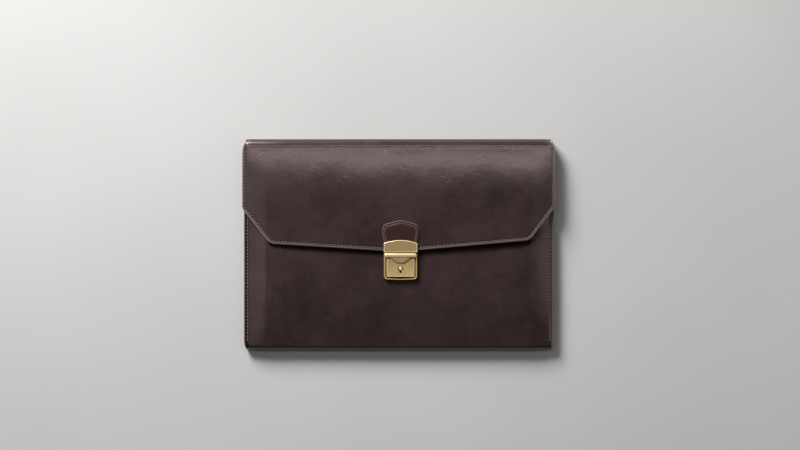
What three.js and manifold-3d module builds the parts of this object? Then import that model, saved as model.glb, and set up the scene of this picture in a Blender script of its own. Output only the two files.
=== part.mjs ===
// A slim leather document case for a sheaf of papers. One hide makes the front, the base fold, the back,
// the top fold and the flap. A folded gusset closes each side, and a brass push lock holds the flap shut.
// Millimetres. The case lies on its back: X runs across it, Y from the base fold up to the top fold, and Z
// out of its front. The origin is the middle of the face that it rests on.
import * as THREE from "three";
import { mergeVertices } from "three/addons/utils/BufferGeometryUtils.js";
import Module from "manifold-3d";

const wasm = await Module();
wasm.setup();

// Case
const caseWidth = 350;
const caseHeight = 238;
const hide = 2.6;
const bodyDepth = 17.8;
const sideDepth = 12;
const shoulderWidth = 26;
const shoulderSoftness = 0.25;
const topFall = 5.3;
const topRun = 68;
const baseFall = 3.8;
const baseRun = 60;
const topFoldReach = 10;
const topFoldPower = 0.8;
const baseFoldReach = 6;
const topPinch = 3.6;
const topPinchRun = 17;
const basePinch = 2.2;
const basePinchRun = 11;
const mouthDrop = 23;

// Flap
const flapOverhang = 1.5;
const flapLength = 126;
const flapTipHalf = 17.5;
const flapClearance = 1;
const flapFollow = 0.45;
const flapShoulderRadius = 9;
const flapCornerRadius = 12;

// Gussets
const gussetHide = 1.3;
const gussetReach = 25;
const gussetSeam = 6;
const gussetCrease = 1;

// Leather tab under the hasp
const tabWidth = 41;
const tabLength = 33.5;
const tabHide = 1.8;
const tabSetback = 0.6;

// Lock
const lockShift = 2;
const lockWidth = 38;
const lockLength = 30;
const lockHeight = 4.3;
const lockFloor = 1.3;
const lockRim = 2.6;
const lockCornerRadius = 4.5;
const lockShoulderRadius = 1;
const faceCornerRadius = 1.2;
const lockBelly = 0.8;
const faceGap = 0.6;
const faceHeight = 3.5;
const faceBevel = 0.7;
const keyholeDrop = 17.3;
const keyholeRadius = 2.9;
const keySlotWidth = 1.8;
const keySlotReach = 5.2;
const keyPostRadius = 2.2;

// Hasp on the flap
const haspGrip = 11.8;
const haspOverhang = 2.5;
const haspArch = 3.5;
const haspHide = 1.4;
const haspBevel = 0.5;
const haspWeb = 1.4;
const tongueWidth = 12;
const tongueThickness = 1.2;
const tongueReach = 4.7;
const tongueRise = 1;

// Push slider over the lock face
const sliderInset = 0.8;
const sliderBar = 5;
const sliderHeight = 1.5;
const sliderTopRadius = 1.8;
const sliderEndRadius = 1;
const lipHeight = 0.9;
const lipReach = 5.9;
const lipShoulderWidth = 22.5;
const lipShoulderRadius = 2.5;
const lipTipWidth = 8.5;
const lipTipRadius = 3;
const lipRoot = 3;
const sliderTravel = 3;
const prongWidth = 2;
const prongThickness = 0.8;

// Clearances
const seatGap = 0.3;
const runningGap = 0.4;
const hingeLineGap = 0.5;
const cutOvershoot = 1;

// Widths that follow from others
const flapWidth = caseWidth + 2 * flapOverhang;

// Where the flap's edge turns, as shares of its half width and of its length below the top of the case.
const FLAP_TURNS = [
  { across: -1, reach: 0.627, radius: flapShoulderRadius },
  { across: -0.822, reach: 0.9395, radius: flapCornerRadius },
  { across: (2 * (lockShift - flapTipHalf)) / flapWidth, reach: 1.003, radius: flapCornerRadius },
  { across: (2 * (lockShift + flapTipHalf)) / flapWidth, reach: 0.999, radius: flapCornerRadius },
  { across: 0.836, reach: 0.909, radius: flapCornerRadius },
  { across: 1, reach: 0.61, radius: flapShoulderRadius },
];

// The right half of the tab's outline, as shares of its half width and of its length above its lower end.
const TAB_TURNS = [
  { across: 0.9, up: 0 },
  { across: 0.91, up: 0.28 },
  { across: 0.98, up: 0.47 },
  { across: 1, up: 0.65 },
  { across: 0.96, up: 0.78 },
  { across: 0.86, up: 0.865 },
  { across: 0.45, up: 0.94 },
];

// How many steps each stretch of the hide is drawn in.
const SIDE_COLUMNS = 16;
const COLUMN_CROWDING = 1.8;
const FRONT_ROWS = 10;
const BASE_ROWS = 8;
const BACK_ROWS = 3;
const TOP_ROWS = 10;
const FLAP_ROWS = 12;
const GUSSET_ROWS = 10;
const ARC_STEPS = 5;
const ROUND_STEPS = 24;

// Places that several pieces share
const topY = caseHeight / 2;
const baseY = -caseHeight / 2;
const mouthY = topY - mouthDrop;
const baseFoldY = baseY + baseFoldReach;
const topFoldY = topY - topFoldReach;
const flapTipY = topY - flapLength;
const flapOuter = bodyDepth + flapClearance + hide;
const tabBottom = flapOuter + seatGap;
const haspBottom = tabBottom + tabHide + seatGap;
const haspTopY = flapTipY + haspGrip;
const haspEndY = flapTipY - haspOverhang;
const lockTopY = haspEndY - hingeLineGap;
const lockEndY = lockTopY - lockLength;
const lockSeat = bodyDepth + seatGap;
const lockWell = lockSeat + lockFloor;
const lockRimTop = lockSeat + lockHeight;
const faceBottom = lockWell + seatGap;
const faceTop = faceBottom + faceHeight;
const prongTopY = lockTopY - haspWeb - runningGap;
const faceTopY = prongTopY - prongThickness - sliderTravel - seatGap;
const faceEndY = lockEndY + lockRim + faceGap;
const keyholeY = lockTopY - keyholeDrop;
const sliderBottom = faceTop + seatGap;
const tongueBottom = lockWell + tongueRise;

function mix(a, b, share) {
  return a + (b - a) * share;
}

function clamp01(value) {
  return Math.min(1, Math.max(0, value));
}

// A fall that starts gently and steepens towards an edge: 0 at the end of its run, 1 at the edge.
function easedFall(distance, run) {
  return Math.pow(clamp01(1 - distance / run), 2);
}

// The front's outer face along its middle: flat, and falling towards both folds.
function crown(y) {
  const topPart = topFall * easedFall(topY - y, topRun);
  const basePart = baseFall * easedFall(y - baseY, baseRun);
  return bodyDepth - topPart - basePart;
}

// How far down its side slope a place is: 0 in the middle and 1 at the side edges, with a soft start.
function sideShare(x) {
  const inset = caseWidth / 2 - Math.abs(x);
  const share = clamp01(1 - inset / shoulderWidth);
  return ((1 + shoulderSoftness) * share * share) / (share + shoulderSoftness);
}

// The front's outer face anywhere: it slopes down to the stitched side edges.
function frontOuter(x, y) {
  return mix(crown(y), Math.min(sideDepth, crown(y)), sideShare(x));
}

// The flap's outer face: it lies on the front's middle and follows only part of its side slopes.
function flapOuterFace(x, y) {
  const middle = crown(y);
  const sideFall = middle - frontOuter(x, y);
  return middle + flapClearance + hide - flapFollow * sideFall;
}

// The arc that rounds the corner between two straight edges, as points in the XY plane.
function cornerArc(before, corner, after, radius) {
  const toBefore = before.clone().sub(corner).normalize();
  const toAfter = after.clone().sub(corner).normalize();
  const halfAngle = Math.acos(toBefore.dot(toAfter)) / 2;
  const tangent = radius / Math.tan(halfAngle);
  const centre = corner
    .clone()
    .addScaledVector(toBefore.clone().add(toAfter).normalize(), radius / Math.sin(halfAngle));
  const start = corner.clone().addScaledVector(toBefore, tangent).sub(centre);
  const end = corner.clone().addScaledVector(toAfter, tangent).sub(centre);
  const turn = Math.atan2(start.cross(end), start.dot(end));
  const points = [];
  for (let i = 0; i <= ARC_STEPS; i++) {
    const spoke = start.clone().rotateAround(new THREE.Vector2(), (turn * i) / ARC_STEPS);
    points.push(centre.clone().add(spoke));
  }
  return points;
}

// A closed outline whose corners are rounded, each by its own radius.
function roundedOutline(corners, radii) {
  const count = corners.length;
  return corners.flatMap((corner, i) => {
    if (radii[i] === 0) return [corner.clone()];
    return cornerArc(corners[(i + count - 1) % count], corner, corners[(i + 1) % count], radii[i]);
  });
}

// The flap's lower edge, from its left side to its right side.
function flapEdge() {
  const turns = FLAP_TURNS.map(
    (turn) => new THREE.Vector2((turn.across * flapWidth) / 2, topY - turn.reach * flapLength),
  );
  const first = new THREE.Vector2(turns[0].x, topY);
  const last = new THREE.Vector2(turns.at(-1).x, topY);
  const stops = [first, ...turns, last];
  return FLAP_TURNS.flatMap((turn, i) => cornerArc(stops[i], stops[i + 1], stops[i + 2], turn.radius));
}

const flapEdgePoints = flapEdge();

function flapEdgeY(x) {
  const points = flapEdgePoints;
  for (let i = 1; i < points.length; i++) {
    const span = points[i].x - points[i - 1].x;
    if (x <= points[i].x && span > 0) {
      return mix(points[i - 1].y, points[i].y, clamp01((x - points[i - 1].x) / span));
    }
  }
  return points.at(-1).y;
}

// Columns across the hide, as shares of its half width, crowded towards the side edges.
function columnShares() {
  const shares = [];
  for (let k = 0; k <= SIDE_COLUMNS; k++) {
    shares.push(Math.pow(k / SIDE_COLUMNS, COLUMN_CROWDING) - 1);
  }
  const mirrored = shares.slice(0, -1).map((share) => -share);
  return [...shares, ...mirrored.reverse()];
}

// How far each side draws in towards the folds.
function pinch(y) {
  return topPinch * easedFall(topY - y, topPinchRun) + basePinch * easedFall(y - baseY, basePinchRun);
}

function narrowed(halfWidth, y) {
  return halfWidth - pinch(y);
}

// Half of an oval round a fold. The turn is 1 at the front, 0 at the crest and -1 at the back. A power of 1
// gives an ellipse, and a lower one a flatter face with a tighter crest.
function foldPoint(share, turn, depthAt, startY, reach, power, halfWidth) {
  const angle = (turn * Math.PI) / 2;
  const y = startY + reach * Math.pow(Math.cos(angle), power);
  const half = depthAt(share * halfWidth, startY) / 2;
  const rise = Math.sign(turn) * Math.pow(Math.abs(Math.sin(angle)), power);
  return new THREE.Vector3(share * narrowed(halfWidth, y), y, half + half * rise);
}

// One row of the hide's outer face for each step from the mouth, round the base, up the back and over.
function hideRows(shares) {
  const half = caseWidth / 2;
  const flapHalf = flapWidth / 2;
  const rows = [];
  for (let i = 0; i < FRONT_ROWS; i++) {
    const y = mix(mouthY, baseFoldY, i / FRONT_ROWS);
    rows.push(shares.map((s) => new THREE.Vector3(s * narrowed(half, y), y, frontOuter(s * half, y))));
  }
  for (let i = 0; i < BASE_ROWS; i++) {
    const turn = 1 - (2 * i) / BASE_ROWS;
    rows.push(shares.map((s) => foldPoint(s, turn, frontOuter, baseFoldY, -baseFoldReach, 1, half)));
  }
  for (let i = 0; i < BACK_ROWS; i++) {
    const y = mix(baseFoldY, topFoldY, i / BACK_ROWS);
    rows.push(shares.map((s) => new THREE.Vector3(s * narrowed(half, y), y, 0)));
  }
  for (let i = 0; i < TOP_ROWS; i++) {
    const turn = (2 * i) / TOP_ROWS - 1;
    const width = mix(half, flapHalf, i / TOP_ROWS);
    rows.push(
      shares.map((s) => foldPoint(s, turn, flapOuterFace, topFoldY, topFoldReach, topFoldPower, width)),
    );
  }
  for (let i = 0; i <= FLAP_ROWS; i++) {
    rows.push(
      shares.map((s) => {
        const x = s * flapHalf;
        const y = mix(topFoldY, flapEdgeY(x), i / FLAP_ROWS);
        return new THREE.Vector3(s * narrowed(flapHalf, y), y, flapOuterFace(x, y));
      }),
    );
  }
  return rows;
}

// The inner face: each point of the outer one, moved in by the hide's thickness without sliding sideways.
function innerRows(rows, thickness) {
  const lastRow = rows.length - 1;
  const lastColumn = rows[0].length - 1;
  return rows.map((row, i) =>
    row.map((point, j) => {
      const along = rows[Math.min(i + 1, lastRow)][j].clone().sub(rows[Math.max(i - 1, 0)][j]);
      const across = row[Math.min(j + 1, lastColumn)].clone().sub(row[Math.max(j - 1, 0)]);
      const normal = across.cross(along).normalize();
      const upright = new THREE.Vector3(0, normal.y, normal.z);
      return point.clone().addScaledVector(upright, thickness / upright.lengthSq());
    }),
  );
}

function geometryOf(points, triangles) {
  const geometry = new THREE.BufferGeometry().setFromPoints(points);
  geometry.setIndex(triangles.flat());
  return facingOut(geometry);
}

// Turns a closed geometry's faces round if they point in.
function facingOut(geometry) {
  const index = geometry.index.array;
  const corner = (i) => new THREE.Vector3().fromBufferAttribute(geometry.attributes.position, index[i]);
  let volume = 0;
  for (let i = 0; i < index.length; i += 3) {
    volume += corner(i).dot(corner(i + 1).cross(corner(i + 2)));
  }
  if (volume < 0) {
    for (let i = 0; i < index.length; i += 3) {
      [index[i + 1], index[i + 2]] = [index[i + 2], index[i + 1]];
    }
  }
  return geometry;
}

// A closed solid between two grids of points that have as many rows and columns.
function sheetSolid(outer, inner) {
  const rows = outer.length;
  const columns = outer[0].length;
  const front = (i, j) => i * columns + j;
  const back = (i, j) => rows * columns + i * columns + j;
  const quads = [];
  for (let i = 0; i < rows - 1; i++) {
    for (let j = 0; j < columns - 1; j++) {
      quads.push([front(i, j), front(i, j + 1), front(i + 1, j + 1), front(i + 1, j)]);
      quads.push([back(i, j), back(i + 1, j), back(i + 1, j + 1), back(i, j + 1)]);
    }
  }
  for (let i = 0; i < rows - 1; i++) {
    const last = columns - 1;
    quads.push([front(i, 0), front(i + 1, 0), back(i + 1, 0), back(i, 0)]);
    quads.push([front(i, last), back(i, last), back(i + 1, last), front(i + 1, last)]);
  }
  for (let j = 0; j < columns - 1; j++) {
    const last = rows - 1;
    quads.push([front(0, j), back(0, j), back(0, j + 1), front(0, j + 1)]);
    quads.push([front(last, j), front(last, j + 1), back(last, j + 1), back(last, j)]);
  }
  const triangles = quads.flatMap(([a, b, c, d]) => [[a, b, c], [a, c, d]]);
  return geometryOf([...outer.flat(), ...inner.flat()], triangles);
}

// A closed solid through sections that have as many points. The first one's flat outline gives the end caps.
function loftSolid(sections, flatOutline) {
  const count = sections[0].length;
  const last = (sections.length - 1) * count;
  const triangles = [];
  for (let i = 0; i < sections.length - 1; i++) {
    for (let k = 0; k < count; k++) {
      const a = i * count + k;
      const b = i * count + ((k + 1) % count);
      triangles.push([a, b, b + count], [a, b + count, a + count]);
    }
  }
  for (const [a, b, c] of THREE.ShapeUtils.triangulateShape(flatOutline, [])) {
    triangles.push([a, c, b], [a + last, b + last, c + last]);
  }
  return geometryOf(sections.flat(), triangles);
}

// An outline moved inwards by a distance. It runs anticlockwise.
function insetOutline(outline, distance) {
  const count = outline.length;
  return outline.map((point, i) => {
    const before = point.clone().sub(outline[(i + count - 1) % count]).normalize();
    const after = outline[(i + 1) % count].clone().sub(point).normalize();
    const inward = new THREE.Vector2(-before.y - after.y, before.x + after.x).normalize();
    const lean = Math.max(0.5, inward.dot(new THREE.Vector2(-after.y, after.x)));
    return point.clone().addScaledVector(inward, distance / lean);
  });
}

// A flat plate from one height to another, with its upper edge bevelled.
function plate(outline, bottom, top, bevel = 0) {
  const level = (points, z) => points.map((p) => new THREE.Vector3(p.x, p.y, z));
  const sections = [level(outline, bottom), level(outline, top - bevel)];
  if (bevel > 0) sections.push(level(insetOutline(outline, bevel), top));
  return loftSolid(sections, outline);
}

function rectangle(left, right, low, high) {
  return [
    new THREE.Vector2(left, low),
    new THREE.Vector2(right, low),
    new THREE.Vector2(right, high),
    new THREE.Vector2(left, high),
  ];
}

function circle(x, y, radius, steps) {
  const points = [];
  for (let i = 0; i < steps; i++) {
    const angle = (2 * Math.PI * i) / steps;
    points.push(new THREE.Vector2(x + radius * Math.cos(angle), y + radius * Math.sin(angle)));
  }
  return points;
}

function solidOf(geometry) {
  const merged = mergeVertices(geometry, 1e-4);
  return new wasm.Manifold(
    new wasm.Mesh({
      numProp: 3,
      vertProperties: merged.attributes.position.array,
      triVerts: new Uint32Array(merged.index.array),
    }),
  );
}

function geometryFrom(solid) {
  const mesh = solid.getMesh();
  const geometry = new THREE.BufferGeometry();
  geometry.setAttribute("position", new THREE.BufferAttribute(mesh.vertProperties, 3));
  geometry.setIndex(new THREE.BufferAttribute(mesh.triVerts, 1));
  return geometry;
}

// The hide that makes the front, base, back, top fold and flap in one piece.
function leatherBody() {
  const outer = hideRows(columnShares());
  return sheetSolid(outer, innerRows(outer, hide));
}

// One side's gusset: a strip creased inwards, with a leg along the front's inner face and one along the back.
function gusset(side) {
  const edgeX = caseWidth / 2 - seatGap;
  const seamX = edgeX - gussetSeam;
  const creaseX = edgeX - gussetReach;
  const halfHide = gussetHide / 2;
  const low = hide + seatGap;
  // The front's inner face lies under its outer face by the hide's thickness, measured square to its slope.
  const frontInner = (x, y) => {
    const step = 0.5;
    const slopeX = (frontOuter(x + step, y) - frontOuter(x - step, y)) / (2 * step);
    const slopeY = (frontOuter(x, y + step) - frontOuter(x, y - step)) / (2 * step);
    return frontOuter(x, y) - hide * Math.sqrt(1 + slopeX * slopeX + slopeY * slopeY);
  };
  const sections = [];
  let flatOutline = [];
  for (let i = 0; i <= GUSSET_ROWS; i++) {
    const y = mix(baseFoldY, mouthY, i / GUSSET_ROWS);
    const edgeHigh = frontInner(edgeX, y) - seatGap;
    const seamHigh = frontInner(seamX, y) - seatGap;
    const middle = (low + edgeHigh) / 2;
    const creaseHalf = halfHide + gussetCrease / 2;
    const outside = [
      new THREE.Vector2(edgeX, edgeHigh),
      new THREE.Vector2(seamX, seamHigh),
      new THREE.Vector2(creaseX, middle + creaseHalf),
      new THREE.Vector2(creaseX, middle - creaseHalf),
      new THREE.Vector2(seamX, low),
      new THREE.Vector2(edgeX, low),
    ];
    const legEnd = creaseX + gussetHide;
    const inside = [
      new THREE.Vector2(edgeX, low + gussetHide),
      new THREE.Vector2(seamX, low + gussetHide),
      new THREE.Vector2(legEnd, middle - gussetCrease / 2),
      new THREE.Vector2(legEnd, middle + gussetCrease / 2),
      new THREE.Vector2(seamX, seamHigh - gussetHide),
      new THREE.Vector2(edgeX, edgeHigh - gussetHide),
    ];
    const outline = [...outside, ...inside];
    if (i === 0) flatOutline = outline;
    sections.push(outline.map((p) => new THREE.Vector3(side * (p.x - pinch(y)), y, p.y)));
  }
  return loftSolid(sections, flatOutline);
}

// The leather patch that the hasp is clamped over.
function flapTab() {
  const lowY = flapTipY + tabSetback;
  const right = TAB_TURNS.map(
    (turn) => new THREE.Vector2((turn.across * tabWidth) / 2, lowY + turn.up * tabLength),
  );
  const left = right.map((p) => new THREE.Vector2(-p.x, p.y)).reverse();
  const apex = new THREE.Vector2(0, lowY + tabLength);
  return plate([...right, apex, ...left], tabBottom, tabBottom + tabHide);
}

// The hasp: an arched plate over the tab, a web down past the flap's tip, and a tongue into the lock.
function haspPlate() {
  const half = lockWidth / 2;
  const archRadius = (half * half + haspArch * haspArch) / (2 * haspArch);
  const archCentreY = haspTopY - archRadius;
  const archAngle = Math.asin(half / archRadius);
  const outline = [new THREE.Vector2(-half, haspEndY), new THREE.Vector2(half, haspEndY)];
  const archSteps = 2 * ARC_STEPS;
  for (let i = 0; i <= archSteps; i++) {
    const angle = mix(archAngle, -archAngle, i / archSteps);
    outline.push(
      new THREE.Vector2(archRadius * Math.sin(angle), archCentreY + archRadius * Math.cos(angle)),
    );
  }
  const top = haspBottom + haspHide;
  const webEndY = flapTipY - 2 * runningGap;
  const webHalf = half - lockRim;
  const web = rectangle(-webHalf, webHalf, webEndY - haspWeb, webEndY);
  const tongueHalf = tongueWidth / 2;
  const tongue = rectangle(-tongueHalf, tongueHalf, haspEndY - tongueReach, webEndY);
  const tongueTop = tongueBottom + tongueThickness;
  return geometryFrom(
    solidOf(plate(outline, haspBottom, top, haspBevel))
      .add(solidOf(plate(web, tongueBottom, haspBottom + haspHide / 2)))
      .add(solidOf(plate(tongue, tongueBottom, tongueTop))),
  );
}

// The lock's outline, inset from its outer edge. Its lower side bulges a little.
function lockOutline(inset) {
  const half = lockWidth / 2 - inset;
  const low = lockEndY + inset;
  const high = lockTopY - Math.min(inset, haspWeb);
  const radius = Math.max(lockCornerRadius - inset, lockShoulderRadius);
  const corners = [
    new THREE.Vector2(-half, low),
    new THREE.Vector2(0, low - lockBelly),
    new THREE.Vector2(half, low),
    new THREE.Vector2(half, high),
    new THREE.Vector2(-half, high),
  ];
  const bellyRadius = lockWidth;
  return roundedOutline(corners, [radius, bellyRadius, radius, lockShoulderRadius, lockShoulderRadius]);
}

// The lock's case: a shallow dish with a rim, and a notch in its upper wall for the hasp's tongue.
function lockCase() {
  const notchHalf = tongueWidth / 2 + runningGap;
  const notchBottom = tongueBottom - runningGap;
  const notch = rectangle(-notchHalf, notchHalf, lockTopY - 2 * haspWeb, lockTopY + cutOvershoot);
  const above = lockRimTop + cutOvershoot;
  return geometryFrom(
    solidOf(plate(lockOutline(0), lockSeat, lockRimTop, faceBevel))
      .subtract(solidOf(plate(lockOutline(lockRim), lockWell, above)))
      .subtract(solidOf(plate(notch, notchBottom, above))),
  );
}

// The raised face in the case's well, pierced by the keyhole.
function lockFace() {
  const half = lockWidth / 2 - lockRim - faceGap;
  const radii = [faceCornerRadius, faceCornerRadius, 0, 0];
  const outline = roundedOutline(rectangle(-half, half, faceEndY, faceTopY), radii);
  const below = faceBottom - cutOvershoot;
  const above = faceTop + cutOvershoot;
  const slotHalf = keySlotWidth / 2;
  const slot = rectangle(-slotHalf, slotHalf, keyholeY - keySlotReach, keyholeY);
  return geometryFrom(
    solidOf(plate(outline, faceBottom, faceTop, faceBevel))
      .subtract(solidOf(plate(circle(0, keyholeY, keyholeRadius, ROUND_STEPS), below, above)))
      .subtract(solidOf(plate(slot, below, above))),
  );
}

// The post that the key turns on.
function keyPost() {
  const rim = circle(0, keyholeY, keyPostRadius, ROUND_STEPS);
  return plate(rim, faceBottom, faceTop - seatGap, faceBevel / 2);
}

// The push slider: a bar across the lock, a lip that drops over its face, and two prongs beside the tongue.
function lockSlider() {
  const half = lockWidth / 2 - sliderInset;
  const barEndY = lockTopY - sliderBar;
  const barRadii = [sliderEndRadius, sliderEndRadius, sliderTopRadius, sliderTopRadius];
  const bar = roundedOutline(rectangle(-half, half, barEndY, lockTopY), barRadii);
  const tipHalf = lipTipWidth / 2;
  const shoulderHalf = lipShoulderWidth / 2;
  const rootHalf = shoulderHalf + lipRoot;
  const lipCorners = [
    new THREE.Vector2(-tipHalf, barEndY - lipReach),
    new THREE.Vector2(tipHalf, barEndY - lipReach),
    new THREE.Vector2(shoulderHalf, barEndY),
    new THREE.Vector2(rootHalf, barEndY),
    new THREE.Vector2(rootHalf, barEndY + lipRoot / 2),
    new THREE.Vector2(-rootHalf, barEndY + lipRoot / 2),
    new THREE.Vector2(-rootHalf, barEndY),
    new THREE.Vector2(-shoulderHalf, barEndY),
  ];
  const lipRadii = [lipTipRadius, lipTipRadius, lipShoulderRadius, 0, 0, 0, 0, lipShoulderRadius];
  const lip = roundedOutline(lipCorners, lipRadii);
  const prongBottom = lockWell + seatGap;
  const prongLeft = tongueWidth / 2 + 2 * runningGap;
  let slider = solidOf(plate(bar, sliderBottom, sliderBottom + sliderHeight, haspBevel));
  slider = slider.add(solidOf(plate(lip, sliderBottom, sliderBottom + lipHeight)));
  for (const side of [-1, 1]) {
    const inner = side * prongLeft;
    const outer = side * (prongLeft + prongWidth);
    const prong = rectangle(
      Math.min(inner, outer),
      Math.max(inner, outer),
      prongTopY - prongThickness,
      prongTopY,
    );
    slider = slider.add(solidOf(plate(prong, prongBottom, sliderBottom + lipHeight / 2)));
  }
  return geometryFrom(slider);
}

const darkLeather = new THREE.MeshStandardMaterial({ color: 0x3a2a29, roughness: 0.5, metalness: 0 });
const tabLeather = new THREE.MeshStandardMaterial({ color: 0x35211f, roughness: 0.5, metalness: 0 });
const gussetLeather = new THREE.MeshStandardMaterial({ color: 0x33201e, roughness: 0.7, metalness: 0 });
const brass = new THREE.MeshStandardMaterial({ color: 0xb59560, roughness: 0.35, metalness: 1 });

const documentCase = new THREE.Group();

function addPiece(parent, name, geometry, material) {
  const mesh = new THREE.Mesh(geometry, material);
  mesh.name = name;
  parent.add(mesh);
}

addPiece(documentCase, "leather_body", leatherBody(), darkLeather);
addPiece(documentCase, "left_gusset", gusset(-1), gussetLeather);
addPiece(documentCase, "right_gusset", gusset(1), gussetLeather);

// The lock and what it holds share one middle line.
const lockGroup = new THREE.Group();
lockGroup.position.x = lockShift;
documentCase.add(lockGroup);
addPiece(lockGroup, "flap_tab", flapTab(), tabLeather);
addPiece(lockGroup, "hasp_plate", haspPlate(), brass);
addPiece(lockGroup, "lock_case", lockCase(), brass);
addPiece(lockGroup, "lock_face", lockFace(), brass);
addPiece(lockGroup, "key_post", keyPost(), brass);
addPiece(lockGroup, "lock_slider", lockSlider(), brass);

export default documentCase;
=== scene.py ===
"""Looks of a slim leather document case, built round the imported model.

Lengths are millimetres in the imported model's frame, and make_mesh turns them into metres. X runs across
the case, Y from the base fold up to the top fold, and Z out of its front, which faces up while it lies on
its back.
"""
import math

import bmesh
import bpy
import numpy as np
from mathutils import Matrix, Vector
from mathutils.geometry import tessellate_polygon
from mathutils.kdtree import KDTree


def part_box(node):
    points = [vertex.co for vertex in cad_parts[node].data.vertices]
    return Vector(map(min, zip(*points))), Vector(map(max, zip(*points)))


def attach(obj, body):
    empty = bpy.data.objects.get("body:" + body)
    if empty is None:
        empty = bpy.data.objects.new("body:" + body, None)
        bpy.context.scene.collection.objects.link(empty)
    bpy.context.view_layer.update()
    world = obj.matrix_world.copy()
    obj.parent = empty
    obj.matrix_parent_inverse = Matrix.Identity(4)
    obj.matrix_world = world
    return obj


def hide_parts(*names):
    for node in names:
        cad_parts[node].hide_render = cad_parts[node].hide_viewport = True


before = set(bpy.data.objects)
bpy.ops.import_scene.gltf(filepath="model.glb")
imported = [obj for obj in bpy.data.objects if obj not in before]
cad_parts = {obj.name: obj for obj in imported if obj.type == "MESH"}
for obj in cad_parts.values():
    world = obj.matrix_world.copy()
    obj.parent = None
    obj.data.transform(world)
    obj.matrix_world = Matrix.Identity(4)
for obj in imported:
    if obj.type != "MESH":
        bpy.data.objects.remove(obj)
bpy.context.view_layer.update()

MM = 0.001


def node_box(node):
    low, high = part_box(node)
    return low / MM, high / MM


def half_width(low, high):
    return (high.x - low.x) / 2


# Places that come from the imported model
hide_low, hide_high = node_box("leather_body")
lock_low, lock_high = node_box("lock_case")
face_low, face_high = node_box("lock_face")
post_low, post_high = node_box("key_post")
slider_low, slider_high = node_box("lock_slider")
hasp_low, hasp_high = node_box("hasp_plate")
tab_low, tab_high = node_box("flap_tab")

TOP_Y = hide_high.y
BASE_Y = hide_low.y
FLAP_HALF = hide_high.x
FLAP_OVERHANG = 1.5
CASE_HALF = FLAP_HALF - FLAP_OVERHANG
LOCK_X = (lock_low.x + lock_high.x) / 2

# The hide's own sizes
HIDE = 2.6
BODY_DEPTH = 17.8
SIDE_DEPTH = 12
SHOULDER_WIDTH = 26
SHOULDER_SOFTNESS = 0.25
TOP_FALL = 5.3
TOP_RUN = 68
BASE_FALL = 3.8
BASE_RUN = 60
TOP_FOLD_REACH = 10
TOP_FOLD_POWER = 0.8
BASE_FOLD_REACH = 6
TOP_PINCH = 3.6
TOP_PINCH_RUN = 17
BASE_PINCH = 2.2
BASE_PINCH_RUN = 11
MOUTH_DROP = 23
FLAP_LENGTH = 126
FLAP_TIP_HALF = 17.5
FLAP_CLEARANCE = 1
FLAP_FOLLOW = 0.45

# Where the flap's edge turns, as shares of its half width and of its length, each with its corner's radius.
FLAP_TURNS = (
    {"across": -1, "reach": 0.627, "radius": 9},
    {"across": -0.822, "reach": 0.9395, "radius": 12},
    {"across": (LOCK_X - FLAP_TIP_HALF) / FLAP_HALF, "reach": 1.003, "radius": 12},
    {"across": (LOCK_X + FLAP_TIP_HALF) / FLAP_HALF, "reach": 0.999, "radius": 12},
    {"across": 0.836, "reach": 0.909, "radius": 12},
    {"across": 1, "reach": 0.61, "radius": 9},
)

# Gussets
GUSSET_HIDE = 1.3
GUSSET_REACH = 25
GUSSET_SEAM = 6
GUSSET_BEND_RADIUS = 5
GUSSET_CREASE_RADIUS = 0.9
# A gusset's end is rounded over these steps, and its very end keeps this share of its thickness.
GUSSET_END_STEPS = (0, 0.1, 0.3, 0.65)
GUSSET_END_SHARE = 0.25
GUSSET_ROWS = 44
# The rows start this far from each end.
GUSSET_ROWS_INSET = 1

# The right half of the tab's outline, as shares of its half width and of its length above its lower end.
TAB_TURNS = ((0.9, 0), (0.91, 0.28), (0.98, 0.47), (1, 0.65), (0.96, 0.78), (0.86, 0.865), (0.45, 0.94))
TAB_SEAM_INSET = 2.8

# Lock
LOCK_RIM = 2.6
LOCK_FLOOR = 1.3
LOCK_CORNER_RADIUS = 4.5
LOCK_SHOULDER_RADIUS = 1
LOCK_BELLY = 0.8
BELLY_RADIUS = 38
UPPER_WALL = 1.4
TONGUE_WIDTH = 12
TONGUE_THICKNESS = 1.2
TONGUE_RISE = 1
NOTCH_GAP = 0.4
HASP_ARCH = 3.5
# The share of the arch between its rounded corners
HASP_ARCH_SHARE = 0.955
HASP_CORNER_RADIUS = 0.9
HASP_FOOT_RADIUS = 0.5
HASP_THICKNESS = 1.4
HINGE_GAP = 0.8
FLAP_TIP_Y = TOP_Y - FLAP_LENGTH
SLIDER_BAR = 5
BAR_RADIUS = 2
SLIDER_HEIGHT = 1.5
LIP_HEIGHT = 0.9
LIP_REACH = 5.9
LIP_ROOT = 3.3
# How far the lip's shoulders reach into the bar
LIP_SINK = 0.15
LIP_TIP_HALF = 4.25
LIP_SHOULDER_HALF = 11.25
LIP_ROOT_HALF = 14.25
LIP_RADII = (3, 3, 2.5, 0.1, 0.1, 0.1, 0.1, 2.5)
PRONG_WIDTH = 2
PRONG_THICKNESS = 0.8
SEAT_GAP = 0.3
FACE_RADII = (1.2, 1.2, 0.4, 0.4)
KEYHOLE_RADIUS = 2.9
KEY_SLOT_DEGREES = 24
KEY_SLOT_END = 5.2
KEY_SLOT_TIP_HALF = 0.95
KEY_SLOT_TIP_RADIUS = 0.45

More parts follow.
